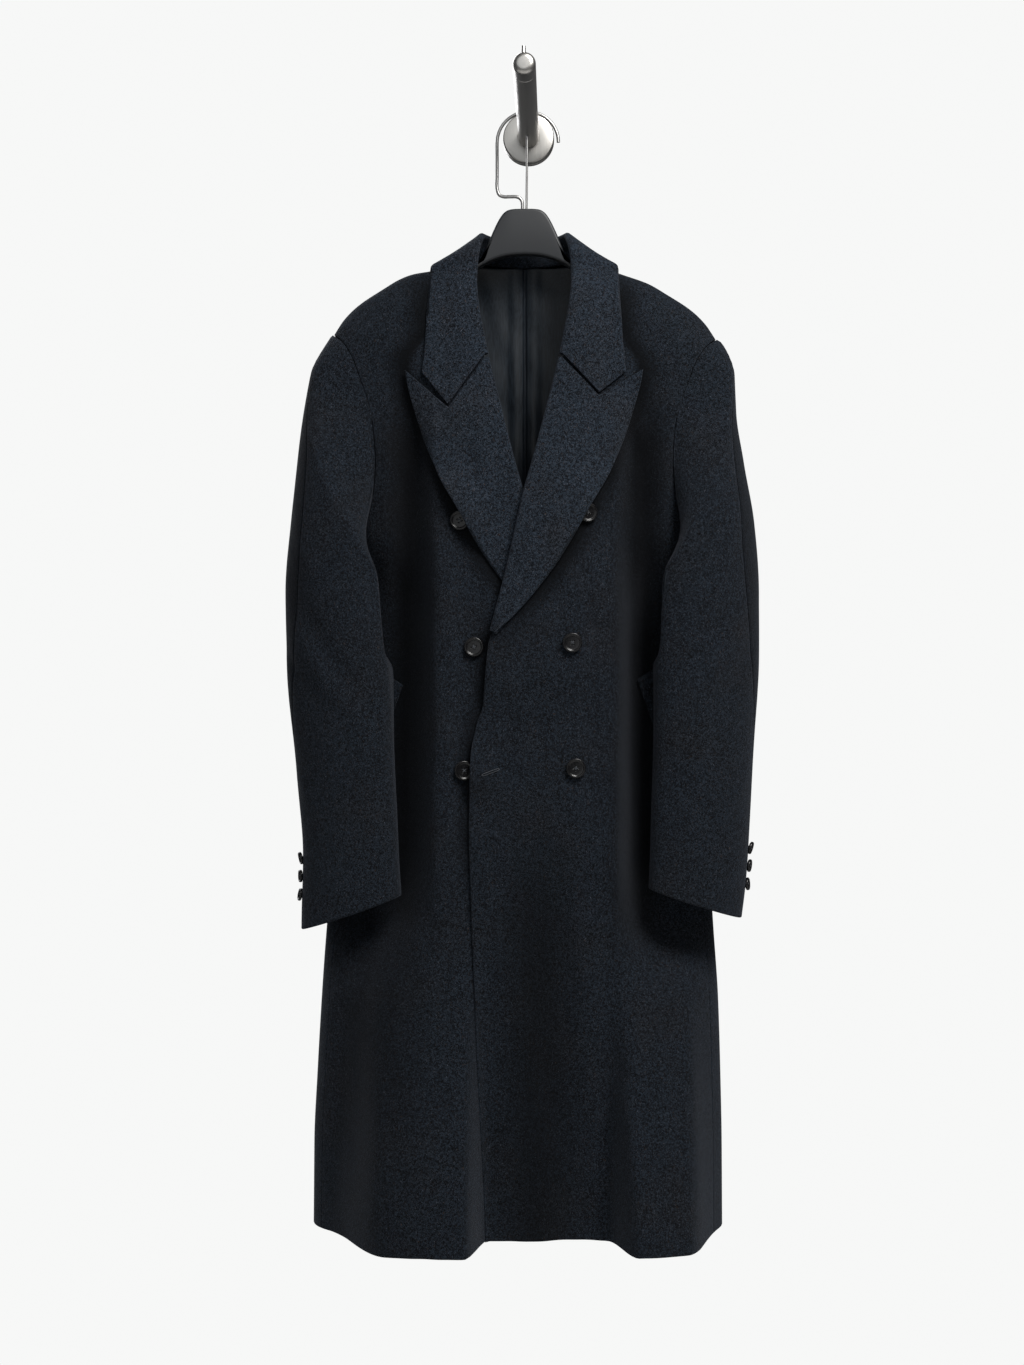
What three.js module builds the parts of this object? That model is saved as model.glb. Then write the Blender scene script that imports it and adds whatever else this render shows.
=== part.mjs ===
// A double-breasted wool coat with peaked lapels, on a hanger that hangs from a wall peg.
// Millimetres, +Z up. The origin is on the wall, at the centre of the rosette's back.
// +X is the picture's right, which is the wearer's left, and +Y goes into the wall.
// "depth" is the distance in front of the wall, so y is always minus depth.
import * as THREE from 'three';

// Driving sizes
const cloth = 3;              // thickness of the wool wall
const seamGap = 0.3;          // two pieces at a seam
const layer = cloth + 0.5;    // one cloth lying on another
const hemZ = -1304;
const underarmZ = -495;
const neckHalf = 78;          // centre to the neck end of the shoulder seam
const shoulderHalf = 228;     // centre to the sleeve end of the shoulder seam
const foldRadius = 3.9;       // outside of the cloth where a lapel or collar turns over
const lapelTopZ = -282;
const hangerDepth = 72;
const hangerTopZ = -102;
const pegRadius = 12.5;
const buttonRadius = 11.5;
const cuffButtonRadius = 7.5;

const colour = { wool: 0x23262f, lining: 0x14161d, button: 0x0b0b0d, steel: 0x9a9a98, black: 0x101012 };

// Maths helpers
const mix = (a, b, t) => a + (b - a) * t;
const clamp = (t) => Math.min(1, Math.max(0, t));
const smooth = (from, to, t) => {
  const part = clamp((t - from) / (to - from));
  return part * part * (3 - 2 * part);
};
const bell = (away, half) => (Math.abs(away) < half ? 0.5 + 0.5 * Math.cos((Math.PI * away) / half) : 0);

// A smooth curve through one column of a table, read against another column
function follow(rows, along, column) {
  const at = rows.map((row) => row[along]);
  const value = rows.map((row) => row[column]);
  const last = at.length - 1;
  const slope = (i) => (value[i + 1] - value[i]) / (at[i + 1] - at[i]);
  const tangent = (i) => {
    if (i === 0) return slope(0);
    if (i === last) return slope(last - 1);
    const before = slope(i - 1);
    const after = slope(i);
    return before * after <= 0 ? 0 : (2 * before * after) / (before + after);
  };
  const falls = at[last] < at[0];
  return (place) => {
    let i = 0;
    while (i < last - 1 && (falls ? place < at[i + 1] : place > at[i + 1])) i += 1;
    const step = at[i + 1] - at[i];
    const t = clamp((place - at[i]) / step);
    const rise = value[i + 1] - value[i];
    const a = tangent(i) * step - rise;
    const b = rise - tangent(i + 1) * step;
    return value[i] + rise * t + t * (1 - t) * (a * (1 - t) + b * t);
  };
}

// The body's sections from the shoulders to the hem. left and right are the sides,
// sideDepth is the depth where they turn, and full says how square the front is.
const sections = [
  { z: -150, left: -266, right: 258, sideDepth: 64, front: 82, back: 44, full: 3.0 },
  { z: -200, left: -266, right: 258, sideDepth: 63, front: 98, back: 28, full: 3.0 },
  { z: -262, left: -262, right: 254, sideDepth: 62, front: 108, back: 21, full: 3.0 },
  { z: -350, left: -238, right: 230, sideDepth: 58, front: 116, back: 16, full: 3.0 },
  { z: -430, left: -220, right: 212, sideDepth: 54, front: 121, back: 13, full: 2.8 },
  { z: -495, left: -212, right: 204, sideDepth: 50, front: 124, back: 12, full: 2.6 },
  { z: -600, left: -214, right: 205, sideDepth: 45, front: 128, back: 12, full: 2.4 },
  { z: -764, left: -224, right: 211, sideDepth: 42, front: 134, back: 12, full: 2.4 },
  { z: -900, left: -237, right: 219, sideDepth: 45, front: 140, back: 12, full: 2.6 },
  { z: -955, left: -242, right: 222, sideDepth: 50, front: 142, back: 12, full: 2.7 },
  { z: -1040, left: -247, right: 227, sideDepth: 58, front: 146, back: 13, full: 2.9 },
  { z: -1125, left: -251, right: 229, sideDepth: 66, front: 150, back: 14, full: 3.0 },
  { z: -1210, left: -254, right: 230, sideDepth: 74, front: 154, back: 15, full: 3.2 },
  { z: -1304, left: -254, right: 230, sideDepth: 80, front: 157, back: 16, full: 3.4 },
];
const leftAt = follow(sections, 'z', 'left');
const rightAt = follow(sections, 'z', 'right');
const sideDepthAt = follow(sections, 'z', 'sideDepth');
const frontAt = follow(sections, 'z', 'front');
const backAt = follow(sections, 'z', 'back');
const fullAt = follow(sections, 'z', 'full');
const centreAt = (z) => (leftAt(z) + rightAt(z)) / 2;
const halfAt = (z) => (rightAt(z) - leftAt(z)) / 2;

// Folds of the front: the middle's x at the start and at the end, a flat top's half width,
// the falls on the left and on the right of it, the rise, and where along z it grows and fades.
const frontFolds = [
  { name: 'left flute', x0: -120, x1: -112, flat: 44, fallLeft: 78, fallRight: 26, rise: 78,
    start: -925, whole: -1304, fade: -1400, end: -1500 },
  { name: 'right flute', x0: 150, x1: 155, flat: 28, fallLeft: 37, fallRight: 48, rise: 75,
    start: -925, whole: -1304, fade: -1400, end: -1500 },
  { name: 'left valley by sleeve', x0: -150, x1: -136, flat: 3, fallLeft: 32, fallRight: 32, rise: -11,
    start: -340, whole: -450, fade: -850, end: -990 },
  { name: 'right valley by sleeve', x0: 152, x1: 130, flat: 3, fallLeft: 32, fallRight: 32, rise: -11,
    start: -340, whole: -450, fade: -850, end: -990 },
  { name: 'left ridge', x0: -104, x1: -98, flat: 3, fallLeft: 24, fallRight: 24, rise: 7,
    start: -440, whole: -560, fade: -860, end: -1000 },
  { name: 'right ridge', x0: 84, x1: 98, flat: 3, fallLeft: 24, fallRight: 24, rise: 6,
    start: -470, whole: -600, fade: -860, end: -1000 },
  { name: 'skirt hollow', x0: 10, x1: 55, flat: 6, fallLeft: 40, fallRight: 34, rise: -9,
    start: -780, whole: -1240, fade: -1400, end: -1500 },
  { name: 'left skirt hollow', x0: -196, x1: -206, flat: 4, fallLeft: 30, fallRight: 34, rise: -12,
    start: -960, whole: -1060, fade: -1180, end: -1300 },
];
const backFolds = [
  { name: 'left back flute', x0: -95, x1: -110, flat: 10, fallLeft: 50, fallRight: 50, rise: 16,
    start: -760, whole: -1304, fade: -1400, end: -1500 },
  { name: 'right back flute', x0: 80, x1: 100, flat: 10, fallLeft: 50, fallRight: 50, rise: 14,
    start: -820, whole: -1304, fade: -1400, end: -1500 },
];
const skirtSpan = (fold, z) => clamp((fold.start - z) / (fold.start - Math.max(fold.whole, hemZ)));
function foldHeight(folds, x, z) {
  let sum = 0;
  for (const fold of folds) {
    const amount = smooth(fold.start, fold.whole, z) * (1 - smooth(fold.fade, fold.end, z));
    if (amount <= 0) continue;
    const away = x - mix(fold.x0, fold.x1, skirtSpan(fold, z));
    const fall = away < 0 ? fold.fallLeft : fold.fallRight;
    sum += fold.rise * amount * bell(Math.max(0, Math.abs(away) - fold.flat), fall);
  }
  return sum;
}

// The sleeves press the sides of the body flat between the underarm and the cuffs
const press = (aside, z) => 0.58 * smooth(110, 175, aside) * smooth(-480, -580, z) * (1 - smooth(-935, -1040, z));

// The shoulder seam's height and depth, by distance from the centre
const shoulderLine = [
  { aside: 0, z: -118, depth: 72 },
  { aside: 40, z: -137, depth: 72 },
  { aside: 78, z: -163, depth: 72 },
  { aside: 110, z: -177, depth: 71 },
  { aside: 147, z: -190, depth: 69 },
  { aside: 170, z: -203, depth: 67 },
  { aside: 198, z: -221, depth: 65 },
  { aside: 215, z: -237, depth: 63 },
  { aside: 228, z: -256, depth: 62 },
];
const shoulderZ = follow(shoulderLine, 'aside', 'z');
const ridgeDepth = follow(shoulderLine, 'aside', 'depth');
const overShoulder = 58;      // drop below the seam over which the cloth rounds over

// Depth of the body's outer face at x, z, on the front or on the back
function bodyDepth(x, z, onBack) {
  const aside = Math.abs(x - centreAt(z));
  const turn = Math.sqrt(Math.max(0, 1 - (Math.min(1, aside / halfAt(z))) ** fullAt(z)));
  const side = sideDepthAt(z);
  let depth;
  if (onBack) depth = side - (side - backAt(z)) * turn + foldHeight(backFolds, x, z) * turn;
  else depth = side + (frontAt(z) - side) * turn * (1 - press(aside, z)) + foldHeight(frontFolds, x, z) * Math.min(1, 1.6 * turn);
  const drop = clamp((shoulderZ(aside) - z) / overShoulder);
  const rounded = Math.sqrt(1 - (1 - drop) ** 2);
  return mix(ridgeDepth(aside), depth, rounded);
}

// The over front lies on the under front, and above the break on its lapel too
const coverReach = (x) => 1 - smooth(58, 104, x);
const lapelStack = 10.8;       // what the under lapel adds beneath the over front
const thirdButton = { x: -72, z: -766 };
function overLift(x, z) {
  const stacked = smooth(-715, -640, z) * (1 - smooth(-440, -320, z));
  const plain = (layer + 0.9) * (1 - smooth(-440, -320, z));
  const overButton = 12 * bell(Math.hypot(x - thirdButton.x, z - thirdButton.z), 50);
  return mix(plain, lapelStack, stacked) * coverReach(x) + overButton;
}
const ridgeGap = (x, z) => seamGap * 0.8 + 1.1 * (1 - smooth(2, 24, shoulderZ(Math.abs(x - centreAt(z))) - z));
const underDepth = (x, z) => bodyDepth(x, z, false) + ridgeGap(x, z);
const overDepth = (x, z) => underDepth(x, z) + overLift(x, z);
const backDepth = (x, z) => bodyDepth(x, z, true) - ridgeGap(x, z);

// Armhole edges, as distances from the centre
const armholeRows = [
  { z: -256, front: 228, back: 228 },
  { z: -268, front: 215, back: 221 },
  { z: -286, front: 203, back: 214 },
  { z: -311, front: 193, back: 207 },
  { z: -336, front: 184, back: 202 },
  { z: -361, front: 178, back: 199 },
  { z: -400, front: 175, back: 197 },
  { z: -440, front: 178, back: 197 },
  { z: -470, front: 190, back: 200 },
  { z: -495, front: 207.5, back: 207.5 },
];
const armholeFront = follow(armholeRows, 'z', 'front');
const armholeBack = follow(armholeRows, 'z', 'back');

// Roll line and front edge, as distances from the centre; past the centre they are negative
const frontEdgeRows = [
  { z: -163, edge: 78 },
  { z: -178, edge: 66 },
  { z: -193, edge: 61.2 },
  { z: -225, edge: 58.2 },
  { z: -250, edge: 53 },
  { z: -282, edge: 46.5 },
  { z: -320, edge: 37.2 },
  { z: -368, edge: 25.2 },
  { z: -407, edge: 15.2 },
  { z: -438, edge: 6.2 },
  { z: -478, edge: -2.8 },
  { z: -514, edge: -10.8 },
  { z: -553, edge: -19.8 },
  { z: -580, edge: -26.8 },
  { z: -598, edge: -37 },
  { z: -648, edge: -43 },
  { z: -691, edge: -46 },
  { z: -710, edge: -52 },
  { z: -747, edge: -58.5 },
  { z: -824, edge: -59.5 },
  { z: -937, edge: -54 },
  { z: -1080, edge: -46 },
  { z: -1246, edge: -36 },
  { z: -1304, edge: -34 },
];
const frontEdge = follow(frontEdgeRows, 'z', 'edge');
const seamToRoll = foldRadius + 1.5 + seamGap;   // a panel starts this far outside the roll line
const rollLine = (z) => (z > -585 ? frontEdge(z) - seamToRoll : mix(-32, -38, smooth(-585, -602, z)));

// Where the side seam lies, as an angle round the section: 90 degrees is the side
const sideSeam = (z) => THREE.MathUtils.degToRad(mix(88, 71, smooth(-520, -900, z)));

// One closed wall between an outer surface and the same moved in by its thickness.
// place(u, v) gives [x, depth, z]; flip is 1 or -1, so that the faces point out.
function wall(place, us, vs, thickness, flip) {
  const point = (u, v) => {
    const [x, depth, z] = place(u, v);
    return new THREE.Vector3(x, -depth, z);
  };
  const nudge = 1e-4;
  const normal = (u, v) => {
    const u0 = Math.max(us[0], u - nudge);
    const u1 = Math.min(us.at(-1), u + nudge);
    const v0 = Math.max(vs[0], v - nudge);
    const v1 = Math.min(vs.at(-1), v + nudge);
    const across = point(u1, v).sub(point(u0, v));
    const down = point(u, v1).sub(point(u, v0));
    return across.cross(down).normalize().multiplyScalar(flip);
  };
  const outer = vs.map((v) => us.map((u) => point(u, v)));
  const inner = vs.map((v, j) => us.map((u, i) => outer[j][i].clone().addScaledVector(normal(u, v), -thickness)));
  const corners = [];
  const quad = (a, b, c, d) => {
    const order = flip > 0 ? [a, b, c, a, c, d] : [a, c, b, a, d, c];
    for (const p of order) corners.push(p.x, p.y, p.z);
  };
  const rows = vs.length - 1;
  const cols = us.length - 1;
  for (let j = 0; j < rows; j += 1) {
    for (let i = 0; i < cols; i += 1) {
      quad(outer[j][i], outer[j][i + 1], outer[j + 1][i + 1], outer[j + 1][i]);
      quad(inner[j + 1][i], inner[j + 1][i + 1], inner[j][i + 1], inner[j][i]);
    }
  }
  for (let i = 0; i < cols; i += 1) {
    quad(outer[0][i + 1], outer[0][i], inner[0][i], inner[0][i + 1]);
    quad(outer[rows][i], outer[rows][i + 1], inner[rows][i + 1], inner[rows][i]);
  }
  for (let j = 0; j < rows; j += 1) {
    quad(outer[j][0], outer[j + 1][0], inner[j + 1][0], inner[j][0]);
    quad(outer[j + 1][cols], outer[j][cols], inner[j][cols], inner[j + 1][cols]);
  }
  const shape = new THREE.BufferGeometry();
  shape.setAttribute('position', new THREE.Float32BufferAttribute(corners, 3));
  shape.computeVertexNormals();
  return shape;
}

const coat = new THREE.Group();
function add(name, shape, tint, roughness, metalness = 0) {
  const finish = new THREE.MeshStandardMaterial({ color: tint, roughness, metalness });
  const mesh = new THREE.Mesh(shape, finish);
  mesh.name = name;
  coat.add(mesh);
  return mesh;
}
const steps = (count, from = 0, to = 1) => Array.from({ length: count + 1 }, (_, i) => mix(from, to, i / count));

// Fronts and backs share one layout: v below 1 runs from the shoulder seam to the
// underarm, and v from 1 to 2 runs on to the hem. u goes from the side to the middle.
const shoulderRows = [0, 0.008, 0.03, 0.08, 0.17, 0.32, 0.5, 0.68, 0.84, 0.94];
const skirtRows = [1, 1.07, 1.16, 1.26, 1.36, 1.46, 1.515, 1.56, 1.62, 1.7, 1.79, 1.9, 2];
const panelRows = [...shoulderRows, ...skirtRows];
const skirtZ = (v) => mix(underarmZ, hemZ, v - 1);

function panelPlace(side, u, v, onBack, depthAt) {
  const neckZ = shoulderZ(neckHalf);
  const topHalf = (part) => mix(shoulderHalf - seamGap / 2, onBack ? 0 : neckHalf, part);
  const trim = seamGap / 2;
  if (v >= 1) {
    const z = skirtZ(v);
    const turn = sideSeam(z);
    const half = halfAt(z);
    const seamSide = half * Math.sin(turn);
    const middle = onBack ? trim : frontEdge(z);
    const middleTurn = Math.asin(middle / half);
    if (onBack) {
      const angle = mix(turn + trim / half, Math.PI - middleTurn, u);
      const x = centreAt(z) + side * half * Math.sin(angle);
      const depth = angle < Math.PI / 2 ? underDepth(x, z) - trim : depthAt(x, z);
      return [x, depth, z];
    }
    const angle = mix(turn - trim / half, middleTurn, u);
    const x = centreAt(z) + side * half * Math.sin(angle);
    return [u === 0 ? centreAt(z) + side * (seamSide - trim) : x, depthAt(x, z), z];
  }
  const tipZ = shoulderZ(shoulderHalf);
  const sideZ = mix(tipZ, underarmZ, v);
  const middleTopZ = onBack ? neckZ - 5 : neckZ;
  const middleZ = mix(middleTopZ, underarmZ, v);
  const armhole = (onBack ? armholeBack : armholeFront)(sideZ) - trim;
  const middle = onBack ? trim : frontEdge(middleZ);
  const turn = sideSeam(underarmZ);
  const lowTurn = Math.asin((onBack ? trim : frontEdge(underarmZ)) / halfAt(underarmZ));
  const endTurn = onBack ? Math.PI - lowTurn : lowTurn;
  const curved = (Math.sin(mix(turn, endTurn, u)) - Math.sin(turn)) / (Math.sin(endTurn) - Math.sin(turn));
  const part = mix(u, curved, v);
  const half = mix(armhole, middle, part);
  const top = topHalf(part);
  const seamZ = top >= neckHalf ? shoulderZ(top) : neckZ - 5 * smooth(neckHalf, 0, top);
  const lean = (seamZ - tipZ) / (middleTopZ - tipZ);
  const z = mix(sideZ, middleZ, lean);
  const x = centreAt(z) + side * half;
  return [x, depthAt(x, z), z];
}

function addBodyPanels() {
  const across = [0, 0.05, 0.1, 0.16, 0.22, 0.28, 0.34, 0.4, 0.46, 0.52, 0.58, 0.64, 0.7, 0.76, 0.82, 0.88, 0.94, 1];
  const overPlace = (u, v) => panelPlace(1, u, v, false, overDepth);
  const underPlace = (u, v) => panelPlace(-1, u, v, false, underDepth);
  add('front_left_over', wall(overPlace, across, panelRows, cloth, 1), colour.wool, 0.95);
  add('front_right_under', wall(underPlace, across, panelRows, cloth, -1), colour.wool, 0.95);
  const backAcross = steps(12);
  for (const [name, side] of [['back_left', 1], ['back_right', -1]]) {
    const place = (u, v) => panelPlace(side, u, v, true, backDepth);
    add(name, wall(place, backAcross, panelRows, cloth, -side), colour.wool, 0.95);
  }
}

// Sleeve sections. outer and inner are distances from the wall's centre line, and
// shallow and deep are the section's middle depths on its outer and inner side.
const rightArmRows = [
  { z: -262, outer: -244, inner: -196, shallow: 64, deep: 84, half: 26 },
  { z: -300, outer: -259, inner: -186, shallow: 66, deep: 92, half: 40 },
  { z: -345, outer: -267, inner: -181, shallow: 70, deep: 100, half: 46 },
  { z: -403, outer: -274, inner: -178, shallow: 74, deep: 108, half: 48 },
  { z: -475, outer: -282, inner: -172, shallow: 77, deep: 112, half: 48 },
  { z: -560, outer: -288, inner: -165, shallow: 79, deep: 114, half: 47 },
  { z: -640, outer: -286, inner: -159, shallow: 80, deep: 115, half: 45 },
  { z: -771, outer: -274, inner: -154, shallow: 84, deep: 115, half: 42 },
  { z: -866, outer: -266, inner: -150, shallow: 90, deep: 116, half: 39 },
  { z: -955, outer: -267, inner: -143, shallow: 94, deep: 117, half: 37 },
];
const leftArmRows = [
  { z: -262, outer: 240, inner: 190, shallow: 64, deep: 84, half: 26 },
  { z: -300, outer: 246, inner: 182, shallow: 66, deep: 92, half: 40 },
  { z: -345, outer: 247, inner: 177, shallow: 70, deep: 100, half: 46 },
  { z: -403, outer: 256, inner: 168, shallow: 74, deep: 108, half: 48 },
  { z: -475, outer: 268, inner: 160, shallow: 77, deep: 112, half: 48 },
  { z: -560, outer: 274, inner: 149, shallow: 79, deep: 114, half: 47 },
  { z: -640, outer: 273, inner: 148, shallow: 80, deep: 115, half: 45 },
  { z: -771, outer: 265, inner: 146, shallow: 84, deep: 115, half: 42 },
  { z: -866, outer: 260, inner: 143, shallow: 90, deep: 116, half: 39 },
  { z: -955, outer: 250, inner: 139, shallow: 94, deep: 117, half: 37 },
];
const armOf = (rows, side, cuffZ, cuffSlant) => ({
  side,
  cuffZ,
  cuffSlant,
  outer: follow(rows, 'z', 'outer'),
  inner: follow(rows, 'z', 'inner'),
  shallow: follow(rows, 'z', 'shallow'),
  deep: follow(rows, 'z', 'deep'),
  half: follow(rows, 'z', 'half'),
});
const rightArm = armOf(rightArmRows, -1, -934, 21);
const leftArm = armOf(leftArmRows, 1, -922, 18);

// The hind seam's turn round the sleeve: 0 is the inner side, 90 the front, 180 the outer side
const hindRows = [
  { v: 0, turn: 196 },
  { v: 0.06, turn: 158 },
  { v: 0.165, turn: 133 },
  { v: 0.3, turn: 130 },
  { v: 0.43, turn: 136 },
  { v: 0.56, turn: 148 },
  { v: 0.68, turn: 165 },
  { v: 0.78, turn: 182 },
  { v: 1, turn: 190 },
];
const hindTurn = follow(hindRows, 'v', 'turn');
const forearmTurn = -110;      // the hidden seam on the inner side

// A point on a sleeve's outer face. The first ring is the armhole, and soon
// below it the sleeve takes its own section.
function sleevePlace(arm, turn, v) {
  const angle = THREE.MathUtils.degToRad(turn);
  const tipZ = shoulderZ(shoulderHalf);
  const inward = (1 + Math.cos(angle)) / 2;
  const holeZ = mix(tipZ, underarmZ, inward);
  const cuffZ = arm.cuffZ + arm.cuffSlant * Math.cos(angle);
  const z = mix(holeZ, cuffZ, v);
  const onFront = Math.sin(angle) >= 0;
  const holeHalf = (onFront ? armholeFront : armholeBack)(holeZ) + seamGap / 2 + 1.1
    + 2.2 * smooth(-300, tipZ, holeZ) + 3 * smooth(-455, underarmZ, holeZ);
  const holeX = centreAt(holeZ) + arm.side * holeHalf;
  const holeDepth = onFront ? underDepth(holeX, holeZ) : backDepth(holeX, holeZ);
  const x = mix(arm.outer(z), arm.inner(z), inward);
  const depth = mix(arm.shallow(z), arm.deep(z), inward) + arm.half(z) * Math.sin(angle);
  const frontness = Math.sin(angle);
  const low = smooth(0.7, 1, inward) * (1 - smooth(0.22, 0.5, frontness));
  const own = smooth(0, mix(0.13, 0.36, low), v);
  const behind = smooth(0.25, 0.7, inward) * (1 - smooth(0.1, 0.45, frontness));
  const deepens = smooth(0, mix(0.13, 0.6, behind), v);
  const besideBody = Math.max(halfAt(underarmZ), z < underarmZ ? halfAt(z) : 0) + 5.4;
  const sideLimit = mix(armholeBack(holeZ) + 1.2, besideBody, smooth(0, 0.05, v));
  const hold = (1 - smooth(0, 0.45, frontness)) * (1 - smooth(0.19, 0.37, v));
  const aside = (mix(holeX, x, own) - centreAt(z)) * arm.side;
  const held = mix(aside, Math.max(aside, sideLimit), hold);
  return clearOfBody(arm, held, mix(holeDepth, depth, deepens), z, v, frontness, hold);
}

// A sleeve lies on the body's side, clear of it and of the welt
function clearOfBody(arm, aside, depth, z, v, frontness, hold) {
  const margin = mix(3, 9, smooth(0, 0.12, v)) * (1 - 0.5 * hold);
  const reach = z < underarmZ ? halfAt(z) + margin : armholeFront(z) + 1;
  const x = centreAt(z) + arm.side * aside;
  if (aside > reach || (z >= underarmZ && frontness < 0)) return [x, depth, z];
  const pressed = aside * (halfAt(z) / (halfAt(z) + margin));
  const spare = (2.6 + 6.4 * smooth(-615, -645, z) * (1 - smooth(-805, -840, z))) * smooth(0, 0.05, v)
    + 11 * (1 + frontness) * smooth(0, 0.07, v);
  const least = underDepth(centreAt(z) + arm.side * pressed, z) + spare;
  return [x, Math.max(depth, least), z];
}

const topCols = [0, 0.08, 0.16, 0.23, 0.29, 0.335, 0.37, 0.4, 0.43, 0.46, 0.49, 0.52, 0.56, 0.61, 0.67, 0.74, 0.82, 0.91, 1];
const sleeveRows = [0, 0.015, 0.04, 0.07, 0.1, 0.13, 0.17, 0.23, 0.32, 0.42, 0.53, 0.65, 0.77, 0.89, 1];
function addSleeve(name, arm) {
  const trim = 0.8;           // degrees on each side of a seam
  const flip = -arm.side;
  const top = (u, v) => sleevePlace(arm, mix(forearmTurn + trim, hindTurn(v) - trim, u), v);
  const under = (u, v) => sleevePlace(arm, mix(hindTurn(v) + trim, 360 + forearmTurn - trim, u), v);
  add(`${name}_top`, wall(top, topCols, sleeveRows, cloth, flip), colour.wool, 0.95);
  add(`${name}_under`, wall(under, steps(6), sleeveRows, cloth, flip), colour.wool, 0.95);
}

// A turned-over piece: from its hidden end, round the fold, to its outer edge.
// c runs from -1 (hidden end) by -0.2 and 0.2 (the fold) to 1 (outer edge).
const foldSpan = 0.2;
function turned(roll, along, outward, hidden, edge, c, swell, free) {
  const inward = outward.clone().addScaledVector(along, -outward.dot(along)).normalize().negate();
  const stack = new THREE.Vector3().crossVectors(along, inward).normalize();
  if (stack.dot(swell) < 0) stack.negate();
  const centre = roll.clone().addScaledVector(inward, -foldRadius);
  if (Math.abs(c) <= foldSpan) {
    const angle = (c / foldSpan) * (Math.PI / 2);
    return centre.addScaledVector(inward, foldRadius * Math.cos(angle)).addScaledVector(stack, foldRadius * Math.sin(angle));
  }
  const start = centre.addScaledVector(stack, foldRadius * Math.sign(c));
  const tucked = start.clone().addScaledVector(inward, -0.9);
  const part = (Math.abs(c) - foldSpan) / (1 - foldSpan);
  return start.lerp(c > 0 ? edge : tucked.lerp(hidden, free), part);
}

// Lapels. r is where the lapel rolls, by its height, and the edge is the outline's
// distance from the centre and height.
const lapelRows = [
  { w: 0, edge: 139.7, edgeZ: -297 },
  { w: 0.06, edge: 137.5, edgeZ: -312 },
  { w: 0.2, edge: 125, edgeZ: -356 },
  { w: 0.4, edge: 102, edgeZ: -416 },
  { w: 0.58, edge: 76, edgeZ: -464 },
  { w: 0.76, edge: 44, edgeZ: -517 },
  { w: 0.9, edge: 10, edgeZ: -562 },
  { w: 1, edge: -21, edgeZ: -593 },
];
const lapelEdge = follow(lapelRows, 'w', 'edge');
const lapelEdgeZ = follow(lapelRows, 'w', 'edgeZ');
const lapelEndZ = -584;
const gorgeAt = 0.46;         // how far across the lapel the notch lies
const gorgeDrop = 45;         // how far the notch dips below the peak's straight line

function lapelPlace(side, c, w, depthAt) {
  const rollZ = mix(lapelTopZ, lapelEndZ, w);
  const half = rollLine(rollZ);
  const place = (aside, z, lift) => {
    const x = centreAt(z) + side * aside;
    return new THREE.Vector3(x, -(depthAt(x, z) + lift), z);
  };
  const rise = foldRadius - cloth;
  const roll = place(half, rollZ, rise);
  const next = place(rollLine(rollZ - 2), rollZ - 2, rise);
  const along = next.clone().sub(roll).normalize();
  const away = Math.max(0, (c - foldSpan) / (1 - foldSpan));
  const dip = gorgeDrop * (away < gorgeAt ? away / gorgeAt : (1 - away) / (1 - gorgeAt));
  const aside = mix(half + foldRadius, lapelEdge(w), away);
  const z = mix(rollZ, lapelEdgeZ(w), away) - dip * Math.max(0, 1 - w / 0.35);
  const covered = side < 0 ? smooth(-62, -24, -aside - rollLine(z)) : 0;
  const overButton = 11 * bell(z + 470, 70) * smooth(0.3, 0.72, away);
  const puff = (3.5 * bell(away - 0.3, 0.3) + overButton) * (1 - covered);
  const onPanel = place(aside, z, layer + (rise + foldRadius - layer) * (1 - smooth(0, 0.35, away)) + puff + 0.7);
  if (c > foldSpan) return [onPanel.x, -onPanel.y, onPanel.z];
  const spot = turned(roll, along, new THREE.Vector3(side, 0, 0), onPanel, onPanel, c, new THREE.Vector3(0, -1, 0), 0);
  return [spot.x, -spot.y, spot.z];
}
const turnedCols = [-1, -0.2, -0.09, 0.03, 0.2, 0.38, 0.568, 0.78, 1];

function addLapels() {
  const lapelSteps = [0, 0.06, 0.13, 0.22, 0.32, 0.43, 0.55, 0.67, 0.78, 0.89, 1];
  const trimmed = lapelSteps.map((w) => mix(0.004, 1, w));
  const over = (u, v) => lapelPlace(1, u, v, overDepth);
  const under = (u, v) => lapelPlace(-1, u, v, underDepth);
  add('lapel_left', wall(over, turnedCols, trimmed, cloth, -1), colour.wool, 0.95);
  add('lapel_right', wall(under, turnedCols, trimmed, cloth, 1), colour.wool, 0.95);
}

// Pocket welts, by the distance from the centre and the height of their corners
const weltLength = 138;
const weltWidth = 27;
function addWelt(name, side, topAside, topZ) {
  const lean = THREE.MathUtils.degToRad(19);
  const slope = THREE.MathUtils.degToRad(33);
  const depthAt = side > 0 ? overDepth : underDepth;
  const place = (u, v) => {
    const aside = topAside + weltWidth * Math.cos(slope) * u + weltLength * Math.sin(lean) * v;
    const z = topZ + weltWidth * Math.sin(slope) * u - weltLength * Math.cos(lean) * v;
    const x = centreAt(z) + side * aside;
    return [x, depthAt(x, z) + layer + 4, z];
  };
  add(name, wall(place, steps(4), steps(10), cloth - 0.1, -side), colour.wool, 0.95);
}

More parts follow.
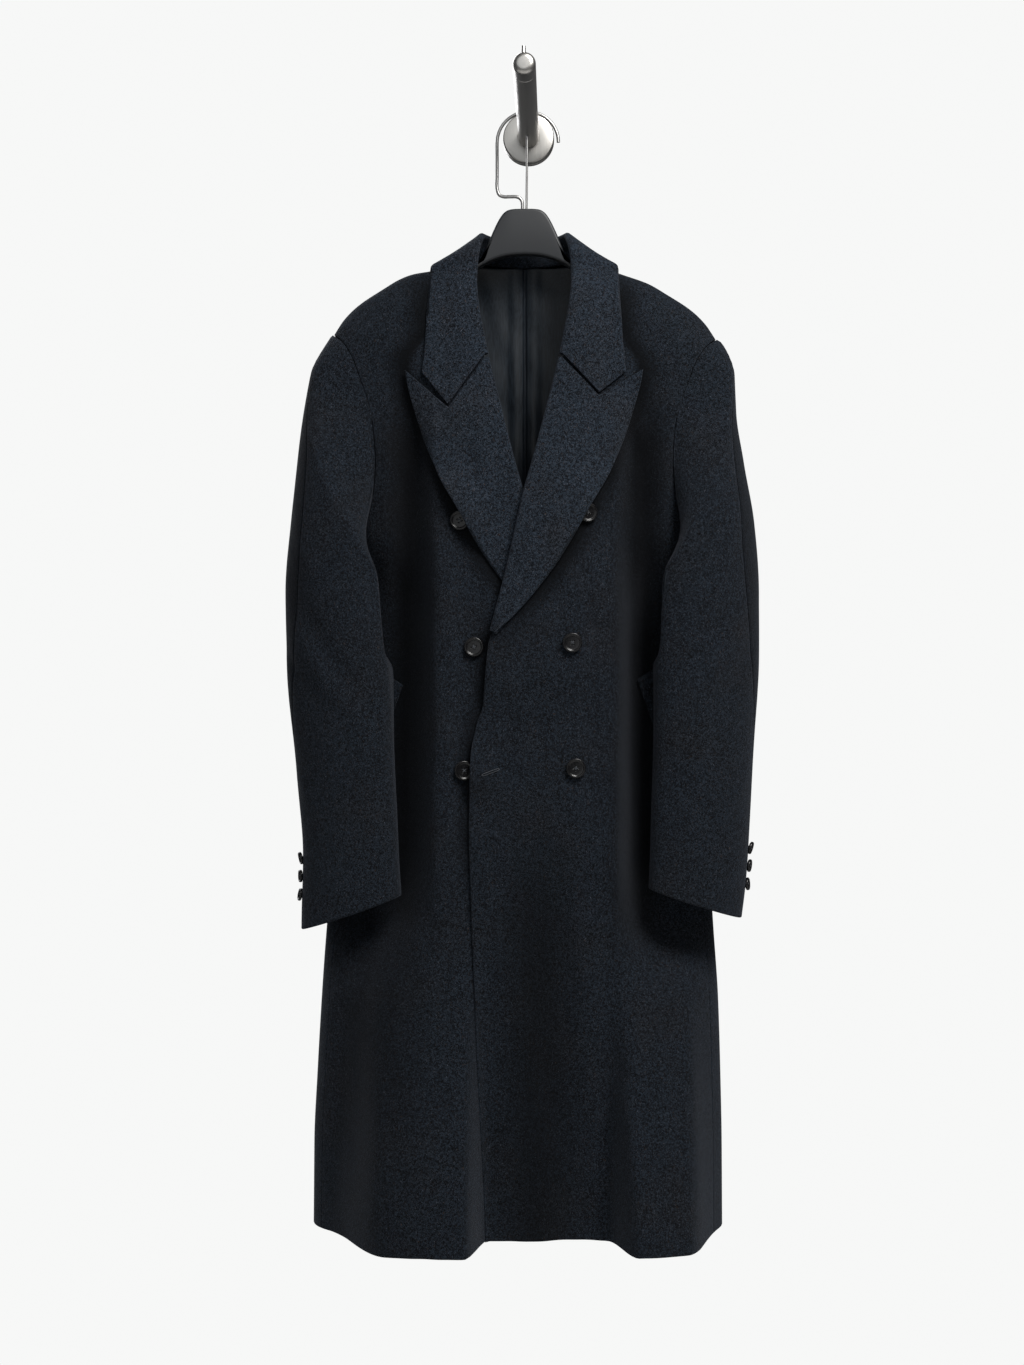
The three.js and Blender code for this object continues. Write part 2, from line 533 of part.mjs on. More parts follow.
// Collar, from the gorge (w = 0) round the neck to the centre back (w = 1). The roll is
// its folded top, the edge its outline, and the neck its seam with the body.
const collarRows = [
  { w: 0, rollX: 41, rollZ: -280, rollDepth: 111, edgeX: 120, edgeZ: -301.5, edgeDepth: 114, neckX: 45.2, neckZ: -280, neckDepth: 107 },
  { w: 0.12, rollX: 47, rollZ: -250, rollDepth: 108, edgeX: 116, edgeZ: -262, edgeDepth: 111, neckX: 51.6, neckZ: -250, neckDepth: 104 },
  { w: 0.25, rollX: 52.4, rollZ: -220, rollDepth: 102, edgeX: 114, edgeZ: -225, edgeDepth: 104, neckX: 56.6, neckZ: -220, neckDepth: 98 },
  { w: 0.36, rollX: 55.2, rollZ: -190, rollDepth: 95, edgeX: 112.5, edgeZ: -193, edgeDepth: 93, neckX: 59.4, neckZ: -191, neckDepth: 91 },
  { w: 0.44, rollX: 54, rollZ: -162, rollDepth: 89, edgeX: 112, edgeZ: -175, edgeDepth: 85, neckX: 63.5, neckZ: -176, neckDepth: 84 },
  { w: 0.5, rollX: 50, rollZ: -139, rollDepth: 78, edgeX: 111, edgeZ: -168, edgeDepth: 73, neckX: 70, neckZ: -166, neckDepth: 77 },
  { w: 0.56, rollX: 47.5, rollZ: -129, rollDepth: 64, edgeX: 108, edgeZ: -169, edgeDepth: 58, neckX: 72, neckZ: -164, neckDepth: 67 },
  { w: 0.66, rollX: 40, rollZ: -128, rollDepth: 46, edgeX: 96, edgeZ: -176, edgeDepth: 41, neckX: 64, neckZ: -159.5, neckDepth: 60 },
  { w: 0.8, rollX: 25, rollZ: -130, rollDepth: 32, edgeX: 61, edgeZ: -185, edgeDepth: 25, neckX: 41, neckZ: -161.5, neckDepth: 47.5 },
  { w: 1, rollX: 0, rollZ: -131, rollDepth: 26, edgeX: 0, edgeZ: -190, edgeDepth: 20, neckX: 0, neckZ: -165, neckDepth: 38 },
];
const collarAt = Object.fromEntries(Object.keys(collarRows[0]).map((key) => [key, follow(collarRows, 'w', key)]));
const collarCorner = 0.58;    // how far across the collar the notch lies
const collarDrop = 40;

function collarPlace(c, place) {
  const w = Math.min(1, Math.abs(place));
  const side = place < 0 ? -1 : 1;
  const depthAt = side > 0 ? overDepth : underDepth;
  const onFront = 1 - smooth(0.36, 0.48, w);
  const rise = foldRadius - cloth;
  const spot = (aside, z, depth, lift) => {
    const x = centreAt(z) + side * aside;
    return new THREE.Vector3(x, -mix(depth, depthAt(x, z) + lift, onFront), z);
  };
  const rollOf = (t) => spot(collarAt.rollX(t), collarAt.rollZ(t), collarAt.rollDepth(t), rise);
  const roll = rollOf(w);
  const before = rollOf(Math.max(0, w - 0.01));
  const after = w > 0.99 ? new THREE.Vector3(2 * roll.x - before.x, before.y, before.z) : rollOf(w + 0.01);
  const along = (w > 0.99 ? after.sub(before).setY(0).setZ(0) : after.sub(before)).normalize();
  const away = Math.max(0, (c - foldSpan) / (1 - foldSpan));
  const dip = collarDrop * (away < collarCorner ? away / collarCorner : (1 - away) / (1 - collarCorner));
  const outer = mix(collarAt.rollX(w) + foldRadius * onFront, collarAt.edgeX(w), away);
  const z = mix(collarAt.rollZ(w), collarAt.edgeZ(w), away) - dip * Math.max(0, 1 - w / 0.16);
  const freeDepth = mix(collarAt.rollDepth(w), collarAt.edgeDepth(w), away);
  const lift = layer + (rise + foldRadius - layer) * (1 - smooth(0, 0.35, away)) + 3 * bell(away - 0.35, 0.35) + 0.9;
  const hidden = spot(collarAt.neckX(w), collarAt.neckZ(w), collarAt.neckDepth(w), 0);
  const edge = spot(collarAt.edgeX(w), collarAt.edgeZ(w), collarAt.edgeDepth(w), layer);
  const outward = edge.clone().sub(roll).normalize().lerp(new THREE.Vector3(side, 0, 0), onFront).normalize();
  const swell = new THREE.Vector3(0, -1, 0).lerp(new THREE.Vector3(side, 0, 1), smooth(0.36, 0.5, w))
    .lerp(new THREE.Vector3(0, 1, 0.2), smooth(0.56, 0.8, w));
  const folded = turned(roll, along, outward, hidden, edge, c, swell, 1 - onFront);
  if (c <= foldSpan) return [folded.x, -folded.y, folded.z];
  const resting = spot(outer, z, freeDepth, lift);
  resting.lerp(folded, 1 - onFront);
  return [resting.x, -resting.y, resting.z];
}

function addCollar() {
  const half = [0.004, 0.05, 0.1, 0.16, 0.24, 0.32, 0.39, 0.44, 0.48, 0.52, 0.56, 0.62, 0.7, 0.79, 0.89, 1];
  const rows = [...half.map((w) => w - 1), ...half.slice(0, -1).reverse().map((w) => 1 - w)];
  const across = [-1, -0.2, -0.09, 0.03, 0.2, 0.42, 0.664, 0.83, 1];
  // v runs from -1 at one gorge through 0 at the centre back to 1 at the other
  const place = (c, v) => collarPlace(c, v < 0 ? -(1 + v) : 1 - v);
  add('collar', wall(place, across, rows, cloth, -1), colour.wool, 0.95);
}

// The back lining, with two soft ridges beside its centre pleat
const liningHalf = 70;
function addLining() {
  const thickness = 1.2;
  const place = (u, v) => {
    const aside = mix(-liningHalf, liningHalf, u);
    const z = mix(-184, -640, v);
    const pleat = 3.4 * bell(Math.abs(aside) - 12, 10);
    const x = centreAt(z) + aside;
    return [x, backDepth(x, z) + cloth + 1.4 + thickness + pleat, z];
  };
  const across = [0, 0.12, 0.24, 0.34, 0.4, 0.442, 0.47, 0.5, 0.53, 0.558, 0.6, 0.66, 0.76, 0.88, 1];
  add('back_lining', wall(place, across, steps(10), thickness, -1), colour.lining, 0.5);
}

// A button: a rimmed disc on a short shank of thread, its axis along +Y
function buttonShape(radius, segments) {
  const shank = 1.2;
  const back = shank + 0.9;
  const rim = shank + 3.8;
  const dish = shank + 2.7;
  const profile = [
    [0, 0], [2, 0], [2, shank], [radius - 1.1, shank], [radius, back], [radius, rim - 0.7],
    [radius - 0.8, rim], [radius - 3.2, dish], [0, dish],
  ];
  return new THREE.LatheGeometry(profile.map(([r, y]) => new THREE.Vector2(r, y)), segments);
}
function seat(mesh, point, normal) {
  mesh.quaternion.setFromUnitVectors(new THREE.Vector3(0, 1, 0), normal);
  mesh.position.copy(point).addScaledVector(normal, seamGap + 0.1);
}
const frontButtons = [
  { name: 'button_right_1', x: -78, z: -475 },
  { name: 'button_right_2', x: -62, z: -623 },
  { name: 'button_right_3', x: thirdButton.x - 2, z: thirdButton.z },
  { name: 'button_left_1', x: 69.6, z: -467 },
  { name: 'button_left_2', x: 52.3, z: -618 },
  { name: 'button_left_3', x: 56.5, z: -763 },
];
function addButtons() {
  for (const { name, x, z } of frontButtons) {
    const depthAt = x > 0 ? overDepth : underDepth;
    const reach = 9;
    const slopeX = (depthAt(x + reach, z) - depthAt(x - reach, z)) / (2 * reach);
    const slopeZ = (depthAt(x, z + reach) - depthAt(x, z - reach)) / (2 * reach);
    const normal = new THREE.Vector3(-slopeX, -1, -slopeZ).normalize();
    const mesh = add(name, buttonShape(buttonRadius, 14), colour.button, 0.25);
    const base = new THREE.Vector3(x, -depthAt(x, z), z);
    let raise = 0;
    for (const degrees of steps(8, 0, 360)) {
      const angle = THREE.MathUtils.degToRad(degrees);
      const rimX = x + buttonRadius * Math.cos(angle);
      const rimZ = z + buttonRadius * Math.sin(angle);
      const above = new THREE.Vector3(rimX, -depthAt(rimX, rimZ), rimZ).sub(base).dot(normal);
      raise = Math.max(raise, above - 1.0);
    }
    seat(mesh, base.addScaledVector(normal, raise + 0.55), normal);
  }
  for (const [name, arm] of [['right', rightArm], ['left', leftArm]]) {
    [0.88, 0.911, 0.943].forEach((v, i) => {
      const at = (turn, t) => {
        const [x, depth, z] = sleevePlace(arm, turn, t);
        return new THREE.Vector3(x, -depth, z);
      };
      const turn = 181;
      const across = at(turn + 3, v).sub(at(turn - 3, v));
      const down = at(turn, v + 0.005).sub(at(turn, v - 0.005));
      const normal = across.cross(down).normalize();
      if (normal.x * arm.side < 0) normal.negate();
      const mesh = add(`cuff_button_${name}_${i + 1}`, buttonShape(cuffButtonRadius, 10), colour.button, 0.25);
      seat(mesh, at(turn, v), normal);
    });
  }
}

// The hanger: a neck that shows between the collar's sides, and plain broad arms
function addHanger() {
  const armTop = (aside) => shoulderZ(aside) - cloth - 5;
  const armEnd = 204;
  const outline = new THREE.Shape();
  outline.moveTo(-19, hangerTopZ);
  outline.lineTo(19, hangerTopZ);
  outline.bezierCurveTo(30, hangerTopZ - 8, 40, -140, 52, -167);
  outline.lineTo(76, armTop(78) - 1);
  for (const aside of [100, 125, 147, 170, 190]) outline.lineTo(aside, armTop(aside));
  outline.quadraticCurveTo(armEnd + 4, armTop(armEnd) + 2, armEnd, armTop(armEnd) - 16);
  for (const [aside, z] of [[170, -238], [125, -219], [90, -205], [60, -190], [30, -168]]) outline.lineTo(aside, z);
  outline.quadraticCurveTo(14, -156, 0, -156);
  outline.quadraticCurveTo(-14, -156, -30, -168);
  for (const [aside, z] of [[60, -190], [90, -205], [125, -219], [170, -238]]) outline.lineTo(-aside, z);
  outline.lineTo(-armEnd, armTop(armEnd) - 16);
  outline.quadraticCurveTo(-armEnd - 4, armTop(armEnd) + 2, -190, armTop(190));
  for (const aside of [170, 147, 125, 100]) outline.lineTo(-aside, armTop(aside));
  outline.lineTo(-76, armTop(78) - 1);
  outline.lineTo(-52, -167);
  outline.bezierCurveTo(-40, -140, -30, hangerTopZ - 8, -19, hangerTopZ);
  const bevel = 3;
  const breadth = 10;
  const shape = new THREE.ExtrudeGeometry(outline, {
    depth: breadth, bevelEnabled: true, bevelThickness: bevel, bevelSize: 1.5, bevelOffset: -1.5, bevelSegments: 2, curveSegments: 6,
  });
  shape.rotateX(Math.PI / 2);
  const mesh = add('hanger_body', shape, colour.black, 0.55);
  mesh.position.set(-4, -hangerDepth + breadth / 2 + 5, 0);
}

// A round wire along a path of points
function wire(points, radius, sides, rounds) {
  const section = new THREE.Shape();
  section.absarc(0, 0, radius, 0, 2 * Math.PI, false);
  const path = new THREE.CatmullRomCurve3(points, false, 'centripetal');
  return new THREE.ExtrudeGeometry(section, { steps: rounds, extrudePath: path, curveSegments: sides / 2, bevelEnabled: false });
}
function addHook() {
  const wireRadius = 2;
  const ring = 36.5;
  const ringZ = -(ring - pegRadius) + 2 + seamGap;
  const points = [];
  const at = (x, z) => points.push(new THREE.Vector3(x, -hangerDepth, z));
  for (const degrees of steps(16, 0, 180)) {
    const angle = THREE.MathUtils.degToRad(degrees);
    at(ring * Math.cos(angle), ringZ + ring * Math.sin(angle));
  }
  for (const z of [-40, -60, -76]) at(-ring, z);
  at(-ring + 2.5, -83.5);
  at(-ring + 8, -86);
  at(-22, -86);
  at(-12, -86.5);
  at(-7.5, -90);
  at(-6.2, hangerTopZ + seamGap);
  add('hanger_hook', wire(points, wireRadius, 8, 44), colour.steel, 0.3, 1);
  const stay = new THREE.CylinderGeometry(1.4, 1.4, 1, 10);
  stay.rotateX(Math.PI / 2);
  const foot = new THREE.Vector3(-1.6, -hangerDepth, hangerTopZ + seamGap);
  const head = new THREE.Vector3(-0.6, -hangerDepth, -pegRadius - 0.4);
  const rod = add('hanger_stay', stay, colour.steel, 0.35, 1);
  rod.scale.z = head.distanceTo(foot);
  rod.position.copy(foot).lerp(head, 0.5);
  rod.quaternion.setFromUnitVectors(new THREE.Vector3(0, 0, 1), head.clone().sub(foot).normalize());
}

// The wall hook: a two-tier rosette, a round peg, its end cap and a small pin on top
function turnedPart(name, profile, segments, roughness) {
  const outline = profile.map(([r, y]) => new THREE.Vector2(r, -y)).reverse();
  const shape = new THREE.LatheGeometry(outline, segments);
  return add(name, shape, colour.steel, roughness, 1);
}
function addWallHook() {
  const rim = 31.2;
  const face = 16;
  const capStart = 276;
  const pegEnd = 306;
  turnedPart('wall_rosette', [
    [0, 0], [rim, 0], [rim, 6.4], [rim - 1.6, 7.2], [rim - 1.6, 8.2], [rim, 9], [rim, 14.2], [rim - 1.8, face],
    [pegRadius + 1, face], [pegRadius + 1, face - 1], [0, face - 1],
  ], 30, 0.35);
  turnedPart('wall_peg', [[0, face - 0.7], [pegRadius, face - 0.7], [pegRadius, capStart], [0, capStart]], 24, 0.35);
  turnedPart('peg_end_cap', [
    [0, capStart + seamGap], [pegRadius, capStart + seamGap], [pegRadius, pegEnd - 7], [pegRadius - 0.9, pegEnd - 3.5],
    [pegRadius - 3.5, pegEnd - 0.9], [pegRadius - 7, pegEnd], [0, pegEnd],
  ], 24, 0.35);
  const pin = new THREE.CylinderGeometry(2.3, 2.5, 8, 12);
  pin.rotateX(Math.PI / 2);
  const mesh = add('peg_pin', pin, colour.steel, 0.35, 1);
  mesh.position.set(-0.8, -(pegEnd - 10), pegRadius + seamGap + 4);
}

addBodyPanels();
addSleeve('sleeve_right', rightArm);
addSleeve('sleeve_left', leftArm);
addLapels();
addWelt('pocket_welt_right', -1, 143, -667);
addWelt('pocket_welt_left', 1, 136, -660);
addCollar();
addLining();
addButtons();
addHanger();
addHook();
addWallHook();

export default coat;
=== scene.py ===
# %% [markdown]
# # A double-breasted coat on its hanger
# The coat is heavy fulled wool, cut in panels and sewn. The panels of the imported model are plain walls, so
# each one is made here again from the same sizes with a much finer net, soft creases and rounded edges.
# A cloth simulation could drape them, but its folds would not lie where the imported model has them. So the
# cloth is worked out from short tables of sizes, as a pattern cutter would.
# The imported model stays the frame: nothing in it moves, and every piece below rides on its one body.

# %% Load the frame
import math

import bpy
import numpy as np
from mathutils import Matrix, Vector


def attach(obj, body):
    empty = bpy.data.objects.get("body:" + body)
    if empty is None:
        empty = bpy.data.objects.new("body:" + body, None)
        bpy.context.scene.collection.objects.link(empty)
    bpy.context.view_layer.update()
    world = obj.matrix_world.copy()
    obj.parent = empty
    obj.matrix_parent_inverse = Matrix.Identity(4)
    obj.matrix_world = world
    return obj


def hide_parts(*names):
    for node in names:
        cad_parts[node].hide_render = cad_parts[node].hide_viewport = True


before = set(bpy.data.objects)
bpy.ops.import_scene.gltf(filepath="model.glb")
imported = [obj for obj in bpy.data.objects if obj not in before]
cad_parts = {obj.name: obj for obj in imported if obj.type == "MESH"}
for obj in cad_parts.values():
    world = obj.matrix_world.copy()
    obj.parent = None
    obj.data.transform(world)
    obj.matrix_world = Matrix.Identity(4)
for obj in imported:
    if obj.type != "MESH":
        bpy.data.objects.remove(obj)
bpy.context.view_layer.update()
MM = 0.001


def into_scene(name, data):
    made = bpy.data.objects.new(name, data)
    bpy.context.scene.collection.objects.link(made)
    return made


# %% [markdown]
# ## Camera
# The photograph looks straight at the wall from 2.4 m, a little to the right of the peg and at hip height.
# Its focal length is 1957 pixels on a long side of 1365, and the view is turned 1.4 degrees to its left.

# %% Camera
focal_px, long_side_px, turn_px = 1957, 1365, 48
camera_data = bpy.data.cameras.new("photo_camera")
camera_data.sensor_width = 36
camera_data.lens = camera_data.sensor_width * focal_px / long_side_px
camera_data.clip_end = 30
camera = into_scene("photo_camera", camera_data)
camera.location = (0.0384, -2.4, -0.664)
camera.rotation_euler = (math.radians(90), 0, math.atan(turn_px / focal_px))
bpy.context.scene.camera = camera
print("camera", round(camera_data.lens, 2), "mm lens")

# %% [markdown]
# ## Light and floor
# The room is white, and its light is soft. Most of it comes from a near window, high up on the right, so it
# fades towards the hem. A large soft panel does that, where a sun alone would light the hem as much as the
# collar. Two weak suns fill in from the room, and one stands behind, for the views of the back. A dark coat
# shows its folds only if the room's own light is weaker than the white that the camera sees behind it, so
# the sky is bright for the camera and dim for the cloth.

# %% Light
def add_node(tree, kind, settings, inputs):
    """Adds a node with its settings, sets or links its inputs, and returns its outputs."""
    made = tree.nodes.new(kind)
    for key, value in settings.items():
        setattr(made, key, value)
    for key, value in inputs.items():
        if isinstance(value, bpy.types.NodeSocket):
            tree.links.new(value, made.inputs[key])
        else:
            made.inputs[key].default_value = value
    return made.outputs


world = bpy.data.worlds.new("white_room")
bpy.context.scene.world = world
world.use_nodes = True
sky = world.node_tree
sky.nodes.clear()
ray = add_node(sky, "ShaderNodeLightPath", {}, {})
lit = add_node(sky, "ShaderNodeBackground", {}, {"Color": (0.95, 0.97, 1.0, 1), "Strength": 0.085})
seen = add_node(sky, "ShaderNodeBackground", {}, {"Color": (0.93, 0.935, 0.93, 1), "Strength": 1.0})
either = add_node(sky, "ShaderNodeMixShader", {}, {0: ray["Is Camera Ray"], 1: lit[0], 2: seen[0]})
add_node(sky, "ShaderNodeOutputWorld", {}, {"Surface": either[0]})
bpy.context.scene.view_settings.view_transform = "Standard"


def soft_light(name, towards, strength, tint, spread=None, panel=None, place=(0, 0, 0)):
    """A sun with a spread in degrees, or a panel with a side in metres. towards points back at the light."""
    data = bpy.data.lights.new(name, "AREA" if panel else "SUN")
    data.energy, data.color = strength, tint
    if panel:
        data.size = panel
    else:
        data.angle = math.radians(spread)
    lamp = into_scene(name, data)
    lamp.location = place
    lamp.rotation_mode = "QUATERNION"
    lamp.rotation_quaternion = Vector(towards).to_track_quat("Z", "Y")
    print(name, data.type.lower(), strength)


window_tint, room_tint = (1.0, 0.99, 0.97), (0.95, 0.98, 1.0)
soft_light("near_window", (0.85, -1.25, 1.30), 46, window_tint, panel=0.8, place=(0.85, -1.35, 0.95))
soft_light("window_light", (0.36, -0.50, 0.79), 0.9, window_tint, spread=24)
soft_light("room_light", (-0.22, -0.93, 0.28), 0.5, room_tint, spread=50)
soft_light("light_behind", (-0.42, 0.80, 0.42), 1.9, (0.97, 0.98, 1.0), spread=50)

# %% Floor
floor_z, floor_x, floor_front, floor_back = -1.62, 2.2, -2.6, 0.2
floor_mesh = bpy.data.meshes.new("floor")
floor_mesh.from_pydata([(-floor_x, floor_front, floor_z), (floor_x, floor_front, floor_z),
                        (floor_x, floor_back, floor_z), (-floor_x, floor_back, floor_z)], [], [(0, 1, 2, 3)])
floor = into_scene("floor", floor_mesh)
print("floor at", floor_z, "m")

# %% [markdown]
# ## Shader sums as Python
# A finish is easier to read as a sum than as a web of nodes. This small class wraps one socket, and adds a
# Math node for each operation that Python meets, also where the number comes first, as in 1 - mask. Any
# other node comes from one method, `node`.

# %% Shader helper
class Value:
    def __init__(self, finish, socket):
        self.finish, self.socket = finish, socket

    def _sum(self, operation, first, second):
        return self.finish.node("ShaderNodeMath", {"operation": operation}, {0: first, 1: second})

    def __add__(self, other):
        return self._sum("ADD", self, other)

    def __sub__(self, other):
        return self._sum("SUBTRACT", self, other)

    def __rsub__(self, other):
        return self._sum("SUBTRACT", other, self)

    def __mul__(self, other):
        return self._sum("MULTIPLY", self, other)

    __radd__, __rmul__ = __add__, __mul__


class Finish:
    """A material with one Principled surface, and the nodes that feed it."""

    def __init__(self, name, **plain):
        self.material = bpy.data.materials.new(name)
        self.material.use_nodes = True
        self.tree = self.material.node_tree
        self.surface = self.tree.nodes["Principled BSDF"]
        self.place = self.node("ShaderNodeTexCoord", {}, {}, "Object")
        for key, value in plain.items():
            self.surface.inputs[key.replace("_", " ")].default_value = value
        print("finish", name)

    def node(self, kind, settings, inputs, output=0):
        sockets = {key: value.socket if isinstance(value, Value) else value for key, value in inputs.items()}
        return Value(self, add_node(self.tree, kind, settings, sockets)[output])

    def noise(self, scale, detail=3.0, rough=0.6, twist=0.0, stretch=None, shift=(0, 0, 0)):
        place = self.place
        if stretch or any(shift):
            place = self.node("ShaderNodeMapping", {},
                              {"Vector": place, "Scale": stretch or (1, 1, 1), "Location": shift})
        return self.node("ShaderNodeTexNoise", {},
                         {"Vector": place, "Scale": scale, "Detail": detail, "Roughness": rough, "Distortion": twist})

    def step(self, value, low, high, to_low=0.0, to_high=1.0):
        return self.node("ShaderNodeMapRange", {"clamp": True, "interpolation_type": "SMOOTHSTEP"},
                         {0: value, 1: low, 2: high, 3: to_low, 4: to_high})

    def blend(self, amount, first, second):
        return self.node("ShaderNodeMix", {"data_type": "RGBA"}, {0: amount, 6: first, 7: second}, 2)

    def feed(self, key, value):
        self.tree.links.new(value.socket, self.surface.inputs[key])

    def bump(self, height, distance, strength):
        relief = self.node("ShaderNodeBump", {}, {"Height": height, "Distance": distance, "Strength": strength})
        self.feed("Normal", relief)


# %% [markdown]
# ## Fulled wool
# The cloth was woven, fulled until the weave closed, and brushed. From near it is a tangle of dark navy and
# black fibres about a millimetre apart, with single pale and brown fibres on top. Strands of hair could make
# that nap, but a million of them would be needed, so fine noise and a shallow bump stand in for them. Object
# coordinates carry the pattern over all seams at one real scale. Shade is painted into the colour where it
# falls: below the edges of the lapels and the collar, beside the sleeves and the front edge, on the outer
# strip of a sleeve and in the skirt's hollows. Those panels carry a number for that painted shade, named "pressed".

# %% Wool
def make_wool(name, lift):
    def tone(r, g, b):
        return (r * lift, g * lift, b * lift, 1)

    wool = Finish(name, Roughness=0.95, Sheen_Weight=0.07, Sheen_Roughness=0.5, Sheen_Tint=(0.55, 0.6, 0.72, 1),
                  Specular_IOR_Level=0.10)
    fibre = wool.noise(860, 4.0, 0.74, 0.9)
    clump = wool.noise(390, 3.0, 0.62, 0.7)
    drift = wool.noise(14, 3.0, 0.55)
    shade = wool.step(fibre * 0.62 + clump * 0.38, 0.452, 0.572)
    navy = wool.blend(shade, tone(0.0012, 0.0018, 0.0027), tone(0.0200, 0.0282, 0.0405))
    slate = wool.blend(shade, tone(0.0020, 0.0019, 0.0022), tone(0.0250, 0.0275, 0.0330))
    ground = wool.blend(wool.step(drift, 0.45, 0.72, 0.0, 0.5), navy, slate)
    pale = wool.step(wool.noise(820, 2.0, 0.55, 2.2, (1, 1, 0.55), (0.31, 0.17, 0.05)), 0.64, 0.685)
    brown = wool.step(wool.noise(640, 2.0, 0.55, 2.0, (1, 1, 0.6), (0.71, 0.43, 0.29)), 0.68, 0.72)
    with_pale = wool.blend(pale * 0.75, ground, tone(0.105, 0.118, 0.150))
    with_brown = wool.blend(brown * 0.7, with_pale, tone(0.085, 0.052, 0.034))
    # painted shade: the "pressed" number darkens the wool to near black where shade falls
    pressed = wool.node("ShaderNodeAttribute", {"attribute_name": "pressed"}, {}, "Fac")
    unshaded = 1 - pressed * 0.92
    wool.feed("Base Color", wool.blend(unshaded, tone(0.0008, 0.0012, 0.0018), with_brown))
    wool.bump(fibre * 0.6 + clump * 0.5 + pale * 0.25, 0.0011, 0.75)
    return wool.material


wool_cloth = make_wool("fulled_wool", 0.68)
# The turned-over cloth of the lapels and collar is a lighter copy of the same wool: painted sheen for its nap, which
# runs the other way.
lit_turned_wool = make_wool("fulled_wool_turned_over_painted_lighter", 1.05)

# %% [markdown]
# ## Lining, buttons, plastic and steel
# The lining is a dark satin with faint lengthwise threads. The buttons are polished resin, the hanger is
# moulded plastic with a fine grain, and the wall hook is turned steel, brushed along its length. Each is one
# Principled surface whose colour and roughness vary a little, because no real surface is even. Noise that is
# stretched along one axis gives threads and brush marks.

# %% Lining satin
satin = Finish("satin_lining", Sheen_Weight=0.04, Sheen_Roughness=0.3, Specular_IOR_Level=0.35)
thread = satin.noise(900, 2.0, 0.5, 0.0, (1, 1, 0.03))
float_line = satin.noise(2600, 1.0, 0.5, 0.0, (0.02, 0.02, 1))
satin_dark, satin_light = (0.0045, 0.0070, 0.0105, 1), (0.0100, 0.0150, 0.0215, 1)
satin.feed("Base Color", satin.blend(satin.step(thread, 0.35, 0.65), satin_dark, satin_light))
satin.feed("Roughness", thread * 0.16 + 0.42)
satin.bump(thread * 0.6 + float_line * 0.4, 0.00012, 0.5)

# %% Buttons and thread
resin = Finish("polished_resin", Base_Color=(0.0032, 0.0032, 0.0037, 1), Specular_IOR_Level=0.32)
resin.feed("Roughness", resin.step(resin.noise(420, 3.0), 0.3, 0.75, 0.22, 0.34))
resin.bump(resin.noise(260, 3.0), 0.00004, 0.4)
sewing_thread = Finish("sewing_thread", Roughness=0.8, Sheen_Weight=0.2)
strand = sewing_thread.noise(3200, 2.0, 0.5)
sewing_thread.feed("Base Color", sewing_thread.blend(strand, (0.010, 0.012, 0.016, 1), (0.050, 0.058, 0.072, 1)))
sewing_thread.bump(strand, 0.0001, 0.5)

# %% Hanger plastic
plastic = Finish("moulded_plastic", Specular_IOR_Level=0.42)
grain = plastic.noise(1500, 3.0, 0.6)
slate_dark, slate_light = (0.0095, 0.0108, 0.0130, 1), (0.0140, 0.0155, 0.0180, 1)
plastic.feed("Base Color", plastic.blend(plastic.noise(30, 2.0), slate_dark, slate_light))
plastic.feed("Roughness", grain * 0.14 + 0.40)
plastic.bump(grain, 0.00008, 0.5)


# %% Steel
def make_steel(name, stretch, tone):
    steel = Finish(name, Metallic=1.0)
    hair = steel.noise(1000, 3.0, 0.65, 0.0, stretch)
    stain = steel.noise(45, 3.0, 0.55)
    low = tuple(c * 0.72 for c in tone) + (1,)
    steel.feed("Base Color", steel.blend(hair * 0.6 + stain * 0.4, low, tone + (1,)))
    steel.feed("Roughness", hair * 0.2 + stain * 0.1 + 0.2)
    steel.bump(hair, 0.00005, 0.35)
    return steel.material


peg_steel = make_steel("steel_brushed_lengthwise", (1, 0.02, 1), (0.53, 0.515, 0.49))
rosette_steel = make_steel("steel_brushed_round", (1, 1, 0.02), (0.50, 0.485, 0.46))
wire_steel = make_steel("steel_wire", (1, 1, 0.1), (0.36, 0.355, 0.35))
floor_paint = Finish("pale_floor", Base_Color=(0.72, 0.72, 0.71, 1), Roughness=0.7)
floor.data.materials.append(floor_paint.material)

# %% [markdown]
# ## The coat's sizes
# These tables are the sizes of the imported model, in millimetres. "Depth" is the distance in front of the
# wall. `follow` draws one smooth curve through a column of a table, and never overshoots between two rows. A
# Bezier curve would be quicker to write, but it can bulge between two sizes, and a seam must not.

# %% Curves and blends
cloth, seam_gap, hem_z, underarm_z, neck_half, shoulder_half = 3.0, 0.3, -1304, -495, 78, 228
layer = cloth + 0.5
fold_radius, lapel_top_z, lapel_end_z = 3.9, -282, -604


def mix(a, b, t):
    return a + (b - a) * t


def smooth(start, end, t):
    part = np.clip((t - start) / (end - start), 0, 1)
    return part * part * (3 - 2 * part)


def bell(away, half):
    return np.where(np.abs(away) < half, 0.5 + 0.5 * np.cos(np.pi * np.asarray(away) / half), 0.0)


def table(columns, *rows):
    return [dict(zip(columns.split(), row)) for row in rows]


